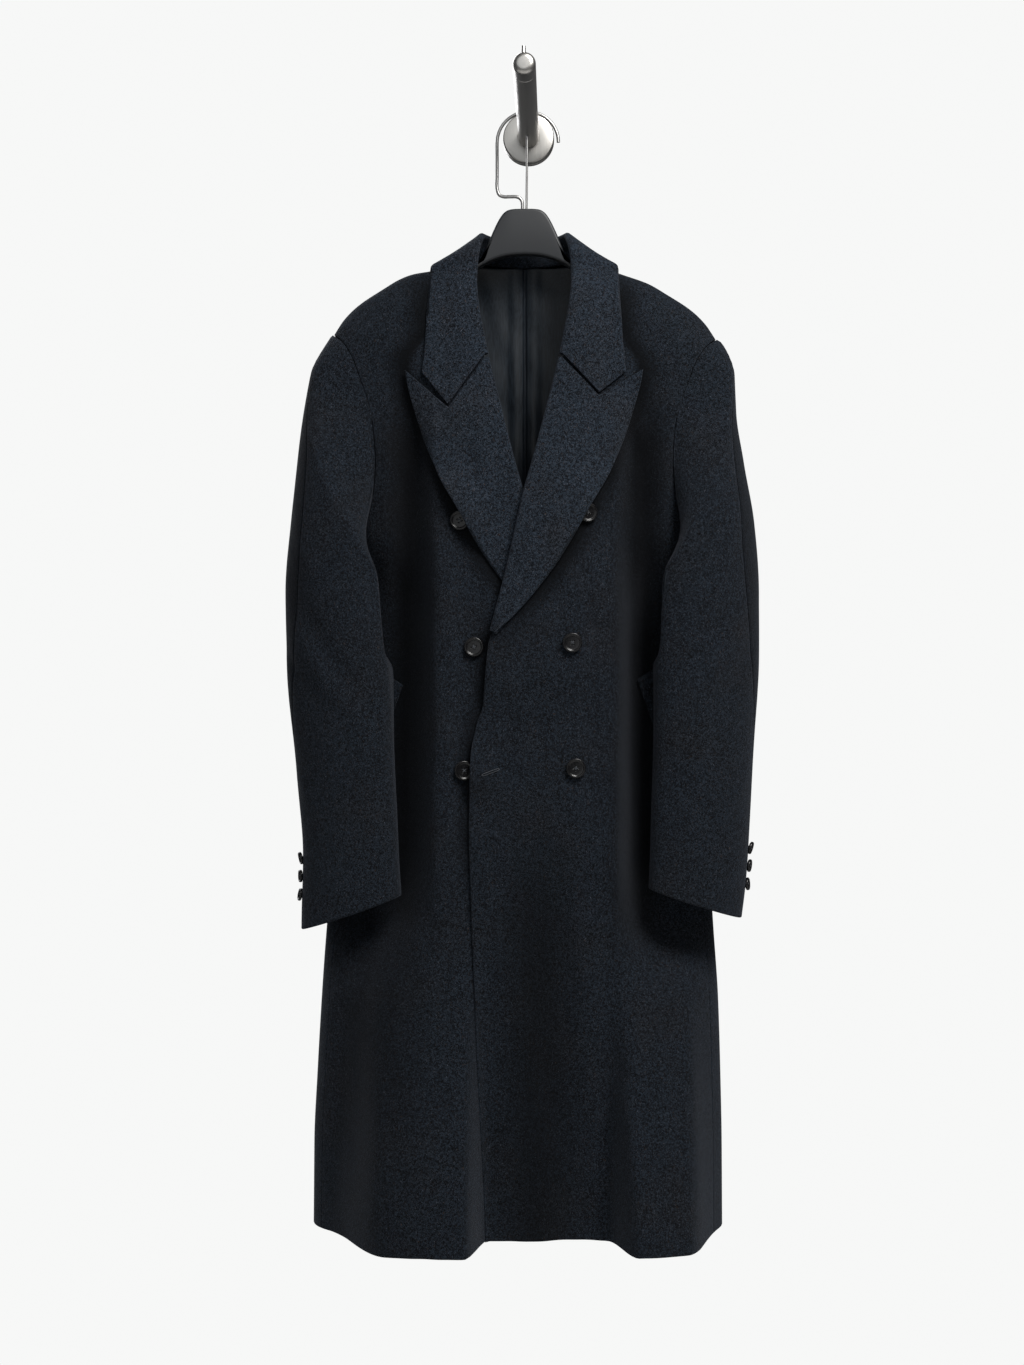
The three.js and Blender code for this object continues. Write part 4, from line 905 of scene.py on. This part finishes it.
# %% Lapels
lapel_rows = table("w edge edge_z", (0, 139.7, -297), (0.06, 137.5, -312), (0.19, 125.5, -358), (0.38, 102, -417),
                   (0.55, 76, -464), (0.72, 45, -517), (0.86, 10, -564), (0.95, -18, -594), (1, -33, -607))
lapel_edge, lapel_edge_z = follow(lapel_rows, "w", "edge"), follow(lapel_rows, "w", "edge_z")
gorge_at, gorge_drop = 0.46, {1: 40, -1: 54}
rise = fold_radius - cloth


def lapel_place(side, depth_at):
    def spot(aside, z, lift):
        x = centre_at(z) + side * aside
        return stacked(x, depth_at(x, z) + lift, z)

    def place(c, w):
        roll_z = mix(lapel_top_z, lapel_end_z, w)
        half = roll_line(roll_z)
        roll = spot(half, roll_z, rise)
        along = unit(spot(roll_line(roll_z - 2), roll_z - 2, rise) - roll)
        away = np.maximum(0, (c - fold_span) / (1 - fold_span))
        dip = gorge_drop[side] * np.where(away < gorge_at, away / gorge_at, (1 - away) / (1 - gorge_at))
        aside = mix(half + fold_radius, lapel_edge(w), away)
        z = mix(roll_z, lapel_edge_z(w), away) - dip * np.maximum(0, 1 - w / 0.35)
        covered = smooth(-62, -24, -aside - roll_line(z)) if side < 0 else 0
        over_button = 11 * bell(z + 470, 70) * smooth(0.3, 0.72, away)
        puff = (3.5 * bell(away - 0.3, 0.3) + over_button) * (1 - covered)
        lift = layer + (rise + fold_radius - layer) * (1 - smooth(0, 0.35, away)) + puff + 0.7
        lift = lift + 2.5 * smooth(0.6, 1, away) * (1 - covered)
        on_panel = spot(aside, z, lift)
        swell, outward = np.array([0.0, -1, 0]), np.array([side, 0.0, 0])
        folded = turned(roll, along, outward, on_panel, on_panel, c, swell, 0)
        net = np.where(c[..., None] > fold_span, on_panel, folded)
        return net[..., 0], -net[..., 1], net[..., 2]

    return place


def cols_through(corner, count):
    """Columns over the fold and out to the edge, with one exactly at the notch."""
    first = int(count * (corner - fold_span) / (1 - fold_span))
    before, after = np.linspace(fold_span, corner, first + 1), np.linspace(corner, 1, count - first + 1)
    return np.concatenate([[-1, -0.6], np.linspace(-fold_span, fold_span, 11), before[1:], after[1:]])


def lapel_relief(side):
    def relief(u, v, x, z):
        away = np.maximum(0, (u - fold_span) / (1 - fold_span))
        pressed_edge = -0.5 * smooth(0.93, 0.985, away)
        slow = 0.35 * np.sin(z / 29 + x / 37) + 0.25 * np.sin(z / 13 - x / 19)
        if side > 0:
            # a small pucker runs on below the notch
            along = ((x - 88) * 11 + (z + 333) * -13) / 290
            across = ((x - 88) * 13 + (z + 333) * 11) / 17
            slow = slow - 1.1 * bell(across, 2.6) * bell(along - 0.45, 0.6)
        return (pressed_edge + slow) * smooth(0, 0.1, away)
    return relief


lapel_cols = cols_through(0.568, 46)
lapel_net = np.concatenate([[0.004, 0.009, 0.016, 0.025], np.linspace(0.036, 1, 96)])
for name, node, side, depth_at, rests in (("wool_lapel_left", "lapel_left", 1, over_depth, "wool_front_over"),
                                          ("wool_lapel_right", "lapel_right", -1, under_depth, "wool_front_under")):
    piece = cloth_wall(name, lapel_place(side, depth_at), lapel_cols, lapel_net, -side, "u1 v1",
                       relief=lapel_relief(side), fabric=lit_turned_wool, tilt=False)
    dress(piece, [node])

# %% Collar
collar_columns = "w roll_x roll_z roll_depth edge_x edge_z edge_depth neck_x neck_z neck_depth"
collar_rows = table(
    collar_columns,
    (0, 41, -280, 111, 120, -301.5, 114, 45.2, -280, 107), (0.12, 47, -250, 108, 116, -262, 111, 51.6, -250, 104),
    (0.25, 52.4, -220, 102, 114, -225, 104, 56.6, -220, 98), (0.36, 55.2, -190, 95, 112.5, -193, 93, 59.4, -191, 91),
    (0.44, 54, -162, 89, 112, -175, 85, 63.5, -176, 84), (0.5, 50, -139, 78, 111, -168, 73, 70, -166, 77),
    (0.56, 47.5, -129, 64, 108, -169, 58, 72, -164, 67), (0.66, 40, -128, 46, 96, -176, 41, 64, -159.5, 60),
    (0.8, 25, -130, 32, 61, -185, 25, 41, -161.5, 47.5), (1, 0, -131, 26, 0, -190, 20, 0, -165, 38))
collar_at = curves(collar_rows, "w", collar_columns.removeprefix("w "))
collar_corner, collar_drop = 0.58, (35, 49)


def collar_place(c, v):
    w, side = 1 - np.abs(v), np.where(v < 0, -1.0, 1.0)
    on_front = 1 - smooth(0.36, 0.48, w)

    def spot(aside, z, depth, lift):
        x = centre_at(z) + side * aside
        lying = np.where(side > 0, over_depth(x, z), under_depth(x, z)) + lift
        return stacked(x, mix(depth, lying, on_front), z)

    def roll_of(t):
        return spot(collar_at["roll_x"](t), collar_at["roll_z"](t), collar_at["roll_depth"](t), rise)

    roll, before = roll_of(w), roll_of(np.maximum(0, w - 0.01))
    after = roll_of(np.minimum(1, w + 0.01))
    level = stacked(side, 0 * w, 0 * w) * -1
    along = unit(np.where((w > 0.99)[..., None], level, after - before))
    away = np.maximum(0, (c - fold_span) / (1 - fold_span))
    to_corner = np.where(away < collar_corner, away / collar_corner, (1 - away) / (1 - collar_corner))
    dip = np.where(side > 0, *collar_drop) * to_corner
    outer = mix(collar_at["roll_x"](w) + fold_radius * on_front, collar_at["edge_x"](w), away)
    z = mix(collar_at["roll_z"](w), collar_at["edge_z"](w), away) - dip * np.maximum(0, 1 - w / 0.16)
    free_depth = mix(collar_at["roll_depth"](w), collar_at["edge_depth"](w), away)
    lift = layer + (rise + fold_radius - layer) * (1 - smooth(0, 0.35, away)) + 3 * bell(away - 0.35, 0.35) + 0.9
    hidden = spot(collar_at["neck_x"](w), collar_at["neck_z"](w), collar_at["neck_depth"](w), 0)
    edge = spot(collar_at["edge_x"](w), collar_at["edge_z"](w), collar_at["edge_depth"](w), layer)
    sideways = stacked(side, 0 * w, 0 * w)
    ahead = on_front[..., None]
    outward = unit(mix(unit(edge - roll), sideways, ahead))
    swell = mix(np.array([0.0, -1, 0]), stacked(side, 0 * w, 1 + 0 * w), smooth(0.36, 0.5, w)[..., None])
    swell = mix(swell, np.array([0, 1, 0.2]), smooth(0.56, 0.8, w)[..., None])
    folded = turned(roll, along, outward, hidden, edge, c, swell, 1 - ahead)
    resting = mix(spot(outer, z, free_depth, lift), folded, 1 - ahead)
    net = np.where(c[..., None] <= fold_span, folded, resting)
    return net[..., 0], -net[..., 1], net[..., 2]


def collar_relief(u, v, x, z):
    away = np.maximum(0, (u - fold_span) / (1 - fold_span))
    slow = 0.35 * np.sin(z / 21 + x / 33) + 0.25 * np.sin(v * 23)
    return (slow - 0.5 * smooth(0.93, 0.985, away)) * smooth(0, 0.1, away)


half_net = np.concatenate([[0.004, 0.009, 0.016, 0.025], np.linspace(0.036, 1, 86)])
collar_net = np.concatenate([half_net - 1, (1 - half_net[:-1])[::-1]])
collar = cloth_wall("wool_collar", collar_place, cols_through(0.664, 40), collar_net, -1, "u1", relief=collar_relief,
                    fabric=lit_turned_wool, tilt=False)
dress(collar, ["collar"])

# %% [markdown]
# ## Pocket welts and back lining
# The welts are short doubled strips sewn on at a slant. Only their upper corners show beside the sleeves.
# The lining lies loose on the back, with a pleat in its middle for ease.

# %% Welts
welt_length, welt_width, welt_lean, welt_slope = 138, 27, math.radians(19), math.radians(33)


def welt_place(side, depth_at, top_aside, top_z):
    def place(u, v):
        aside = top_aside + welt_width * math.cos(welt_slope) * u + welt_length * math.sin(welt_lean) * v
        z = top_z + welt_width * math.sin(welt_slope) * u - welt_length * math.cos(welt_lean) * v
        x = centre_at(z) + side * aside
        return x, depth_at(x, z) + layer + 4, z
    return place


for name, side, depth_at, top_aside, top_z in (("right", -1, under_depth, 143, -667), ("left", 1, over_depth, 136, -660)):
    piece = cloth_wall(f"wool_welt_{name}", welt_place(side, depth_at, top_aside, top_z), np.linspace(0, 1, 14),
                       np.linspace(0, 1, 44), -side, "u0 u1 v0 v1", relief=lambda u, v, x, z: 0.3 * np.sin(z / 9))
    dress(piece, [f"pocket_welt_{name}"])


# %% Lining
def lining_place(u, v):
    aside = mix(-70, 70, u)
    z = mix(-167, -640, v)
    x = centre_at(z) + aside
    pleat = 2.6 * bell(np.abs(aside) - 11, 12) - 2.6 * bell(aside, 2.8)
    pleat = pleat + 0.8 * np.sin(aside / 13 + z / 90) * smooth(20, 44, np.abs(aside))
    return x, back_depth(x, z) + cloth + 1.4 + 1.2 + pleat, z


lining_cols = np.concatenate([np.linspace(0, 0.34, 22), np.linspace(0.35, 0.65, 44), np.linspace(0.66, 1, 22)])
lining = cloth_wall("lining_back", lining_place, lining_cols, np.linspace(0, 1, 120), -1, "v1", thickness=1.2)
lining.data.materials[0] = satin.material
dress(lining, ["back_lining"])

# %% [markdown]
# ## Buttons
# Each button is a turned resin disc with a raised rim, a shallow dish and four drilled holes, sewn on with
# a wound thread shank. The holes are cut once in a pattern button, and its copies are placed on the cloth.

# %% Turned shapes
def turn_profile(profile, segments, centre=(0, 0, 0)):
    """Spins pairs of radius and height round the height axis. The ends lie on the axis."""
    angles = np.linspace(0, 2 * np.pi, segments, endpoint=False)
    inner = profile[1:-1]
    points = [(0, 0, profile[0][1])]
    for r, h in inner:
        points += [(r * math.cos(a), r * math.sin(a), h) for a in angles]
    points.append((0, 0, profile[-1][1]))
    faces = []
    for i in range(segments):
        j = (i + 1) % segments
        faces.append((0, 1 + j, 1 + i))
        for k in range(len(inner) - 1):
            low, high = 1 + k * segments, 1 + (k + 1) * segments
            faces.append((low + i, low + j, high + j, high + i))
        last = 1 + (len(inner) - 1) * segments
        faces.append((last + i, last + j, len(points) - 1))
    return np.array(points, float) + centre, faces


def joined(parts):
    """Several (points, faces) as one, with a material number for each part."""
    points, faces, chosen = [], [], []
    for number, (part_points, part_faces) in parts:
        start = sum(len(p) for p in points)
        points.append(np.asarray(part_points))
        faces += [tuple(start + i for i in face) for face in part_faces]
        chosen += [number] * len(part_faces)
    return np.concatenate(points), faces, chosen


def read_mesh(mesh):
    points = np.array([v.co for v in mesh.vertices]) / MM
    return points, [tuple(p.vertices) for p in mesh.polygons]


# %% Pattern button
def pattern_button(radius):
    s = radius / 11.5
    profile = [(0, 1.2), (9.0 * s, 1.2), (10.9 * s, 1.7), (11.4 * s, 2.5), (radius, 3.3), (11.3 * s, 4.2), (10.8 * s, 4.8),
               (10.1 * s, 5.0), (9.4 * s, 4.85), (8.7 * s, 4.3), (8.1 * s, 3.95), (7.2 * s, 3.85), (4.0 * s, 3.8), (0, 3.8)]
    body_points, body_faces = turn_profile(profile, 56)
    disc = link_mesh("disc", body_points, body_faces, [])
    hole_parts = []
    for dx, dy in ((-1, -1), (1, -1), (1, 1), (-1, 1)):
        drill = turn_profile([(0, 0), (0.95 * s, 0), (0.95 * s, 7), (0, 7)], 14, (1.85 * s * dx, 1.85 * s * dy, 0))
        hole_parts.append((0, drill))
    drill_points, drill_faces, _ = joined(hole_parts)
    drill = link_mesh("drill", drill_points, drill_faces, [])
    cut = disc.modifiers.new("holes", "BOOLEAN")
    cut.operation, cut.solver, cut.object = "DIFFERENCE", "EXACT", drill
    whole = bpy.data.meshes.new_from_object(disc.evaluated_get(bpy.context.evaluated_depsgraph_get()))
    made = read_mesh(whole)
    for piece in (disc, drill):
        bpy.data.objects.remove(piece)
    parts = [(0, made)]
    # the shank: turns of thread wound below the disc
    wound = [(0, -2.2)] + [(1.7 + 0.28 * (i % 2), -2.2 + 0.23 * i) for i in range(17)] + [(0, 1.6)]
    parts.append((1, turn_profile(wound, 16)))
    # the thread crosses the dish from hole to hole
    for x0, y0, x1, y1, high in ((-1, -1, 1, 1, 0.1), (1, -1, -1, 1, 0.42)):
        for shift in (-0.26, 0.26):
            points, faces = [], []
            steps, sides = 9, 6
            along = np.array([x1 - x0, y1 - y0]) / math.hypot(x1 - x0, y1 - y0)
            across = np.array([-along[1], along[0]])
            for i in range(steps):
                t = i / (steps - 1)
                middle = 1.85 * s * np.array([mix(x0, x1, t), mix(y0, y1, t)]) + across * shift
                lift = 3.55 + (0.4 + high) * math.sin(math.pi * t) ** 0.5
                for k in range(sides):
                    a = 2 * math.pi * k / sides
                    points.append((*(middle + across * 0.27 * math.cos(a)), lift + 0.27 * math.sin(a)))
            for i in range(steps - 1):
                for k in range(sides):
                    n = (k + 1) % sides
                    faces.append((i * sides + k, (i + 1) * sides + k, (i + 1) * sides + n, i * sides + n))
            faces += [tuple(range(sides)), tuple(reversed(range((steps - 1) * sides, steps * sides)))]
            parts.append((1, (points, faces)))
    return joined(parts)


patterns = {radius: pattern_button(radius) for radius in (11.5, 7.5)}


def place_button(name, radius, foot, normal, spin):
    points, faces, chosen = patterns[radius]
    turn = Vector((0, 0, 1)).rotation_difference(Vector(normal)).to_matrix() @ Matrix.Rotation(spin, 3, "Z")
    moved = np.asarray(points) @ np.array(turn).T + np.asarray(foot)
    piece = link_mesh(f"sewn_{name}", moved, faces, [resin.material, sewing_thread.material], chosen)
    dress(piece, [name])


# %% Front buttons
front_buttons = (("button_right_1", -78, -475), ("button_right_2", -62, -623), ("button_right_3", -74, -766),
                 ("button_left_1", 69.6, -467), ("button_left_2", 52.3, -618), ("button_left_3", 56.5, -763))
for number, (name, x, z) in enumerate(front_buttons):
    depth_at = over_depth if x > 0 else under_depth
    near = lambda dx, dz: float(depth_at(np.array(x + dx, float), np.array(z + dz, float)))
    normal = -unit(np.array([(near(9, 0) - near(-9, 0)) / 18, 1.0, (near(0, 9) - near(0, -9)) / 18]))
    base = np.array([x, -near(0, 0), z])
    rim_points = [(11.5 * math.cos(a), 11.5 * math.sin(a)) for a in np.linspace(0, 2 * np.pi, 9)]
    above = [float(np.dot(np.array([x + dx, -near(dx, dz), z + dz]) - base, normal)) for dx, dz in rim_points]
    place_button(name, 11.5, base + normal * (max(0, max(above) - 1.0) + 0.95), normal, 0.4 + 0.7 * number)

# %% Cuff buttons
for name, arm in (("right", right_arm), ("left", left_arm)):
    for number, v in enumerate((0.88, 0.911, 0.943)):
        at = lambda turn, t: np.array([float(c) for c in sleeve_place(arm, np.array(float(turn)), np.array(float(t)))]) * (1, -1, 1)
        across, down = at(184, v) - at(178, v), at(181, v + 0.005) - at(181, v - 0.005)
        normal = unit(np.cross(across, down))
        normal = -normal if normal[0] * arm["side"] < 0 else normal
        leaned = unit(normal + np.array([0, -0.32, -0.22 + 0.2 * number]))
        place_button(f"cuff_button_{name}_{number + 1}", 7.5, at(181, v) - normal * 0.6, leaned, 0.3 + number)

# %% [markdown]
# ## Buttonhole
# The hole's edge is whipped with thread. One small stitch is repeated along a closed path round the slit:
# that is work for Geometry Nodes, which turn the path into evenly spaced points and set a stitch on each.

# %% Stitch tree
def socket_id(tree, name):
    return next(item.identifier for item in tree.interface.items_tree if item.item_type == "SOCKET" and item.name == name)


def stitch_tree(name, material):
    tree = bpy.data.node_groups.new(name, "GeometryNodeTree")
    tree.interface.new_socket("Path", in_out="INPUT", socket_type="NodeSocketGeometry")
    for label, value in (("Spacing", 0.0008), ("Stitch length", 0.0022), ("Thread radius", 0.0004)):
        tree.interface.new_socket(label, in_out="INPUT", socket_type="NodeSocketFloat").default_value = value
    tree.interface.new_socket("Stitches", in_out="OUTPUT", socket_type="NodeSocketGeometry")
    node = tree.nodes.new
    link = tree.links.new
    start, end = node("NodeGroupInput"), node("NodeGroupOutput")
    spaced = node("GeometryNodeCurveToPoints")
    spaced.mode = "LENGTH"
    bead = node("GeometryNodeMeshUVSphere")
    bead.inputs["Segments"].default_value, bead.inputs["Rings"].default_value = 8, 6
    shape = node("ShaderNodeCombineXYZ")
    sized = node("GeometryNodeTransform")
    unit_radius = node("ShaderNodeMath")
    unit_radius.operation = "DIVIDE"
    set_on, real = node("GeometryNodeInstanceOnPoints"), node("GeometryNodeRealizeInstances")
    paint = node("GeometryNodeSetMaterial")
    paint.inputs["Material"].default_value = material
    link(start.outputs["Path"], spaced.inputs["Curve"])
    link(start.outputs["Spacing"], spaced.inputs["Length"])
    link(start.outputs["Thread radius"], bead.inputs["Radius"])
    link(start.outputs["Stitch length"], unit_radius.inputs[0])
    link(start.outputs["Thread radius"], unit_radius.inputs[1])
    shape.inputs[1].default_value = shape.inputs[2].default_value = 1.0
    half = node("ShaderNodeMath")
    half.operation = "MULTIPLY"
    half.inputs[1].default_value = 0.5
    link(unit_radius.outputs[0], half.inputs[0])
    link(half.outputs[0], shape.inputs[0])
    link(bead.outputs["Mesh"], sized.inputs["Geometry"])
    link(shape.outputs[0], sized.inputs["Scale"])
    link(spaced.outputs["Points"], set_on.inputs["Points"])
    link(spaced.outputs["Rotation"], set_on.inputs["Rotation"])
    link(sized.outputs["Geometry"], set_on.inputs["Instance"])
    link(set_on.outputs["Instances"], real.inputs["Geometry"])
    link(real.outputs["Geometry"], paint.inputs["Geometry"])
    link(paint.outputs["Geometry"], end.inputs["Stitches"])
    return tree


def stitched(name, paths, tree, closed, **sizes):
    """Runs the stitch tree along paths given in millimetres, and keeps the result as a plain mesh."""
    curve = bpy.data.curves.new(name + "_path", "CURVE")
    curve.dimensions = "3D"
    for path in paths:
        line = curve.splines.new("POLY")
        line.points.add(len(path) - 1)
        for point, place in zip(line.points, path):
            point.co = (*[c * MM for c in place], 1)
        line.use_cyclic_u = closed
    guide = into_scene(name + "_path", curve)
    sewing = guide.modifiers.new("stitches", "NODES")
    sewing.node_group = tree
    for label, value in sizes.items():
        sewing[socket_id(tree, label.replace("_", " "))] = value
    made = bpy.data.meshes.new_from_object(guide.evaluated_get(bpy.context.evaluated_depsgraph_get()))
    shade_smooth(made)
    bpy.data.objects.remove(guide)
    piece = into_scene(name, made)
    print(name, len(made.polygons), "faces")
    return piece


# %% Sew the buttonhole
whip = stitch_tree("whip_stitch", sewing_thread.material)
hole_start, hole_end = np.array([-52.1, -771.3]), np.array([-31.3, -763.8])
lengthwise = unit(hole_end - hole_start)
crosswise = np.array([-lengthwise[1], lengthwise[0]])
slit = []
for t in np.linspace(0, 2 * np.pi, 60, endpoint=False):
    reach = 10.4 * math.copysign(abs(math.cos(t)) ** 0.25, math.cos(t))
    spot = (hole_start + hole_end) / 2 + lengthwise * reach + crosswise * 1.15 * math.sin(t)
    slit.append((spot[0], -float(over_depth(np.array(spot[0]), np.array(spot[1]))) - 0.15, spot[1]))
buttonhole = stitched("buttonhole_stitches", [slit], whip, True,
                      Spacing=0.00075, Stitch_length=0.0019, Thread_radius=0.00045)
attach(buttonhole, "root")

# %% [markdown]
# ## Hanger and wall hook
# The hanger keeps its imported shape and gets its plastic. Its wire, the peg, the rosette and the pin are made
# again with finer turns, from the same sizes.

# %% Hanger
def hanger_outline(count=80):
    """The right half of the outline: over the neck and the arm to its tip, and back below."""
    arm_top = [(a, 0, float(shoulder_z(np.array(float(a)))) - cloth - 5) for a in (78, 100, 125, 147, 170, 190)]
    neck = [(0, 0, -101.6), (12, 0, -101.8), (19, 0, -103), (24.5, 0, -106.5), (30, 0, -114), (37, 0, -128), (44, 0, -145),
            (51.5, 0, -163), (64, 0, -169)]
    tip = [(200, 0, arm_top[-1][2] - 8), (204, 0, arm_top[-1][2] - 19)]
    under = [tip[-1], (196, 0, -247), (170, 0, -238), (125, 0, -217), (100, 0, -203), (80, 0, -190), (62, 0, -177),
             (48, 0, -167.5), (34, 0, -161), (18, 0, -157), (0, 0, -155.8)]
    line = smooth_path(neck + arm_top + tip, count) + smooth_path(under, count)[1:]
    return np.array(line)[:, [0, 2]]


def hanger_mesh(bevel=3.2, breadth=16.0, steps=6):
    half = hanger_outline()
    line = np.concatenate([half, (half[1:-1] * (-1, 1))[::-1]])
    way = np.roll(line, -1, axis=0) - np.roll(line, 1, axis=0)
    outward = unit(np.stack([-way[:, 1], way[:, 0]], axis=1))
    quarter = [(bevel * (1 - math.sin(a)), bevel * (1 - math.cos(a))) for a in np.linspace(0, np.pi / 2, steps)]
    rings = quarter + [(inset, breadth - deep) for inset, deep in reversed(quarter)]
    count, points = len(line), []
    for inset, deep in rings:
        points += [(x - 4, -hanger_depth - breadth / 2 + deep, z) for x, z in line - outward * inset]
    faces = []
    for k in range(len(rings) - 1):
        for i in range(count):
            j = (i + 1) % count
            faces.append((k * count + i, (k + 1) * count + i, (k + 1) * count + j, k * count + j))
    # each flat face is a strip between the upper and the lower line of both arms
    last, under = (len(rings) - 1) * count, len(half) - 1
    for i in range(under // 2):
        right = [i, i + 1, under - i - 1, under - i]
        left = [(count - n) % count for n in right]
        for strip in (right, left[::-1]):
            strip = list(dict.fromkeys(strip))
            faces.append(tuple(strip))
            faces.append(tuple(last + n for n in reversed(strip)))
    return points, faces


def wire_piece(name, path, radius, node):
    curve = bpy.data.curves.new(name, "CURVE")
    curve.dimensions = "3D"
    curve.bevel_depth, curve.bevel_resolution, curve.use_fill_caps = radius * MM, 6, True
    line = curve.splines.new("POLY")
    line.points.add(len(path) - 1)
    for point, place in zip(line.points, path):
        point.co = (*[c * MM for c in place], 1)
    guide = into_scene(name + "_guide", curve)
    mesh = bpy.data.meshes.new_from_object(guide.evaluated_get(bpy.context.evaluated_depsgraph_get()))
    bpy.data.objects.remove(guide)
    shade_smooth(mesh)
    mesh.materials.clear()
    mesh.materials.append(wire_steel)
    piece = into_scene(name, mesh)
    dress(piece, [node])


def smooth_path(points, count):
    """A centripetal curve through the points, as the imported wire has."""
    p = np.array(points, float)
    p = np.concatenate([[2 * p[0] - p[1]], p, [2 * p[-1] - p[-2]]])
    gaps = np.concatenate([[0], np.cumsum(np.linalg.norm(np.diff(p, axis=0), axis=1) ** 0.5)])
    made = []
    for t in np.linspace(gaps[1], gaps[-2] - 1e-9, count):
        i = int(np.clip(np.searchsorted(gaps, t, side="right") - 1, 1, len(p) - 3))
        t0, t1, t2, t3 = gaps[i - 1:i + 3]
        a1 = mix(p[i - 1], p[i], (t - t0) / (t1 - t0))
        a2 = mix(p[i], p[i + 1], (t - t1) / (t2 - t1))
        a3 = mix(p[i + 1], p[i + 2], (t - t2) / (t3 - t2))
        made.append(mix(mix(a1, a2, (t - t0) / (t2 - t0)), mix(a2, a3, (t - t1) / (t3 - t1)), (t - t1) / (t2 - t1)))
    return made


# %% Mould the hanger
hanger_depth, hanger_top_z, peg_radius, ring = 72, -102, 12.5, 36.5
hanger_points, hanger_faces = hanger_mesh()
hanger = link_mesh("hanger_moulded", hanger_points, hanger_faces, [plastic.material], sharp=40)
dress(hanger, ["hanger_body"])

# %% Hook wire
ring_z = -(ring - peg_radius) + 2 + seam_gap
hook_path = [(ring * math.cos(a), -hanger_depth, ring_z + ring * math.sin(a)) for a in np.linspace(0, np.pi, 17)]
for x, z in ((-ring, -40), (-ring, -60), (-ring, -76), (-ring + 2.5, -83.5), (-ring + 8, -86), (-22, -86), (-12, -86.5),
             (-7.5, -90), (-6.2, hanger_top_z + seam_gap)):
    hook_path.append((x, -hanger_depth, z))
wire_piece("hook_wire", smooth_path(hook_path, 180), 2.0, "hanger_hook")
stay_path = [(-1.6, -hanger_depth, hanger_top_z + seam_gap), (-0.6, -hanger_depth, -peg_radius - 0.4)]
wire_piece("stay_wire", stay_path, 1.4, "hanger_stay")


# %% Rosette and peg
def turned_steel(name, profile, node, finish):
    points, faces = turn_profile(profile, 96)
    points = np.stack([points[:, 0], -points[:, 2], points[:, 1]], axis=1)
    piece = link_mesh(name, points, faces, [finish], sharp=32)
    dress(piece, [node])


turned_steel("rosette", [
    (0, 0), (31.0, 0), (31.2, 0.3), (31.2, 6.1), (30.8, 6.7), (29.8, 7.1), (29.6, 7.4), (29.6, 8.0), (29.9, 8.5), (30.9, 8.9),
    (31.2, 9.4), (31.2, 14.0), (30.9, 15.0), (30.2, 15.7), (29.4, 16), (13.9, 16), (13.6, 15.8), (13.5, 15), (0, 15)],
    "wall_rosette", rosette_steel)
turned_steel("peg", [(0, 15.3), (12.5, 15.3), (12.5, 275.6), (12.1, 276), (0, 276)], "wall_peg", peg_steel)
turned_steel("peg_cap", [
    (0, 276.3), (12.1, 276.3), (12.5, 276.7), (12.5, 299), (12.3, 300.8), (11.6, 302.5), (10.6, 304), (9.0, 305.1), (7.2, 305.8),
    (5.5, 306), (0, 306)], "peg_end_cap", peg_steel)
pin_points, pin_faces = turn_profile([(0, 0), (2.3, 0), (2.5, 0.25), (2.3, 7.2), (2.05, 7.75), (1.5, 8), (0, 8)], 40)
pin = link_mesh("peg_top_pin", pin_points + np.array([-0.8, -296, 12.8]), pin_faces, [peg_steel], sharp=40)
dress(pin, ["peg_pin"])
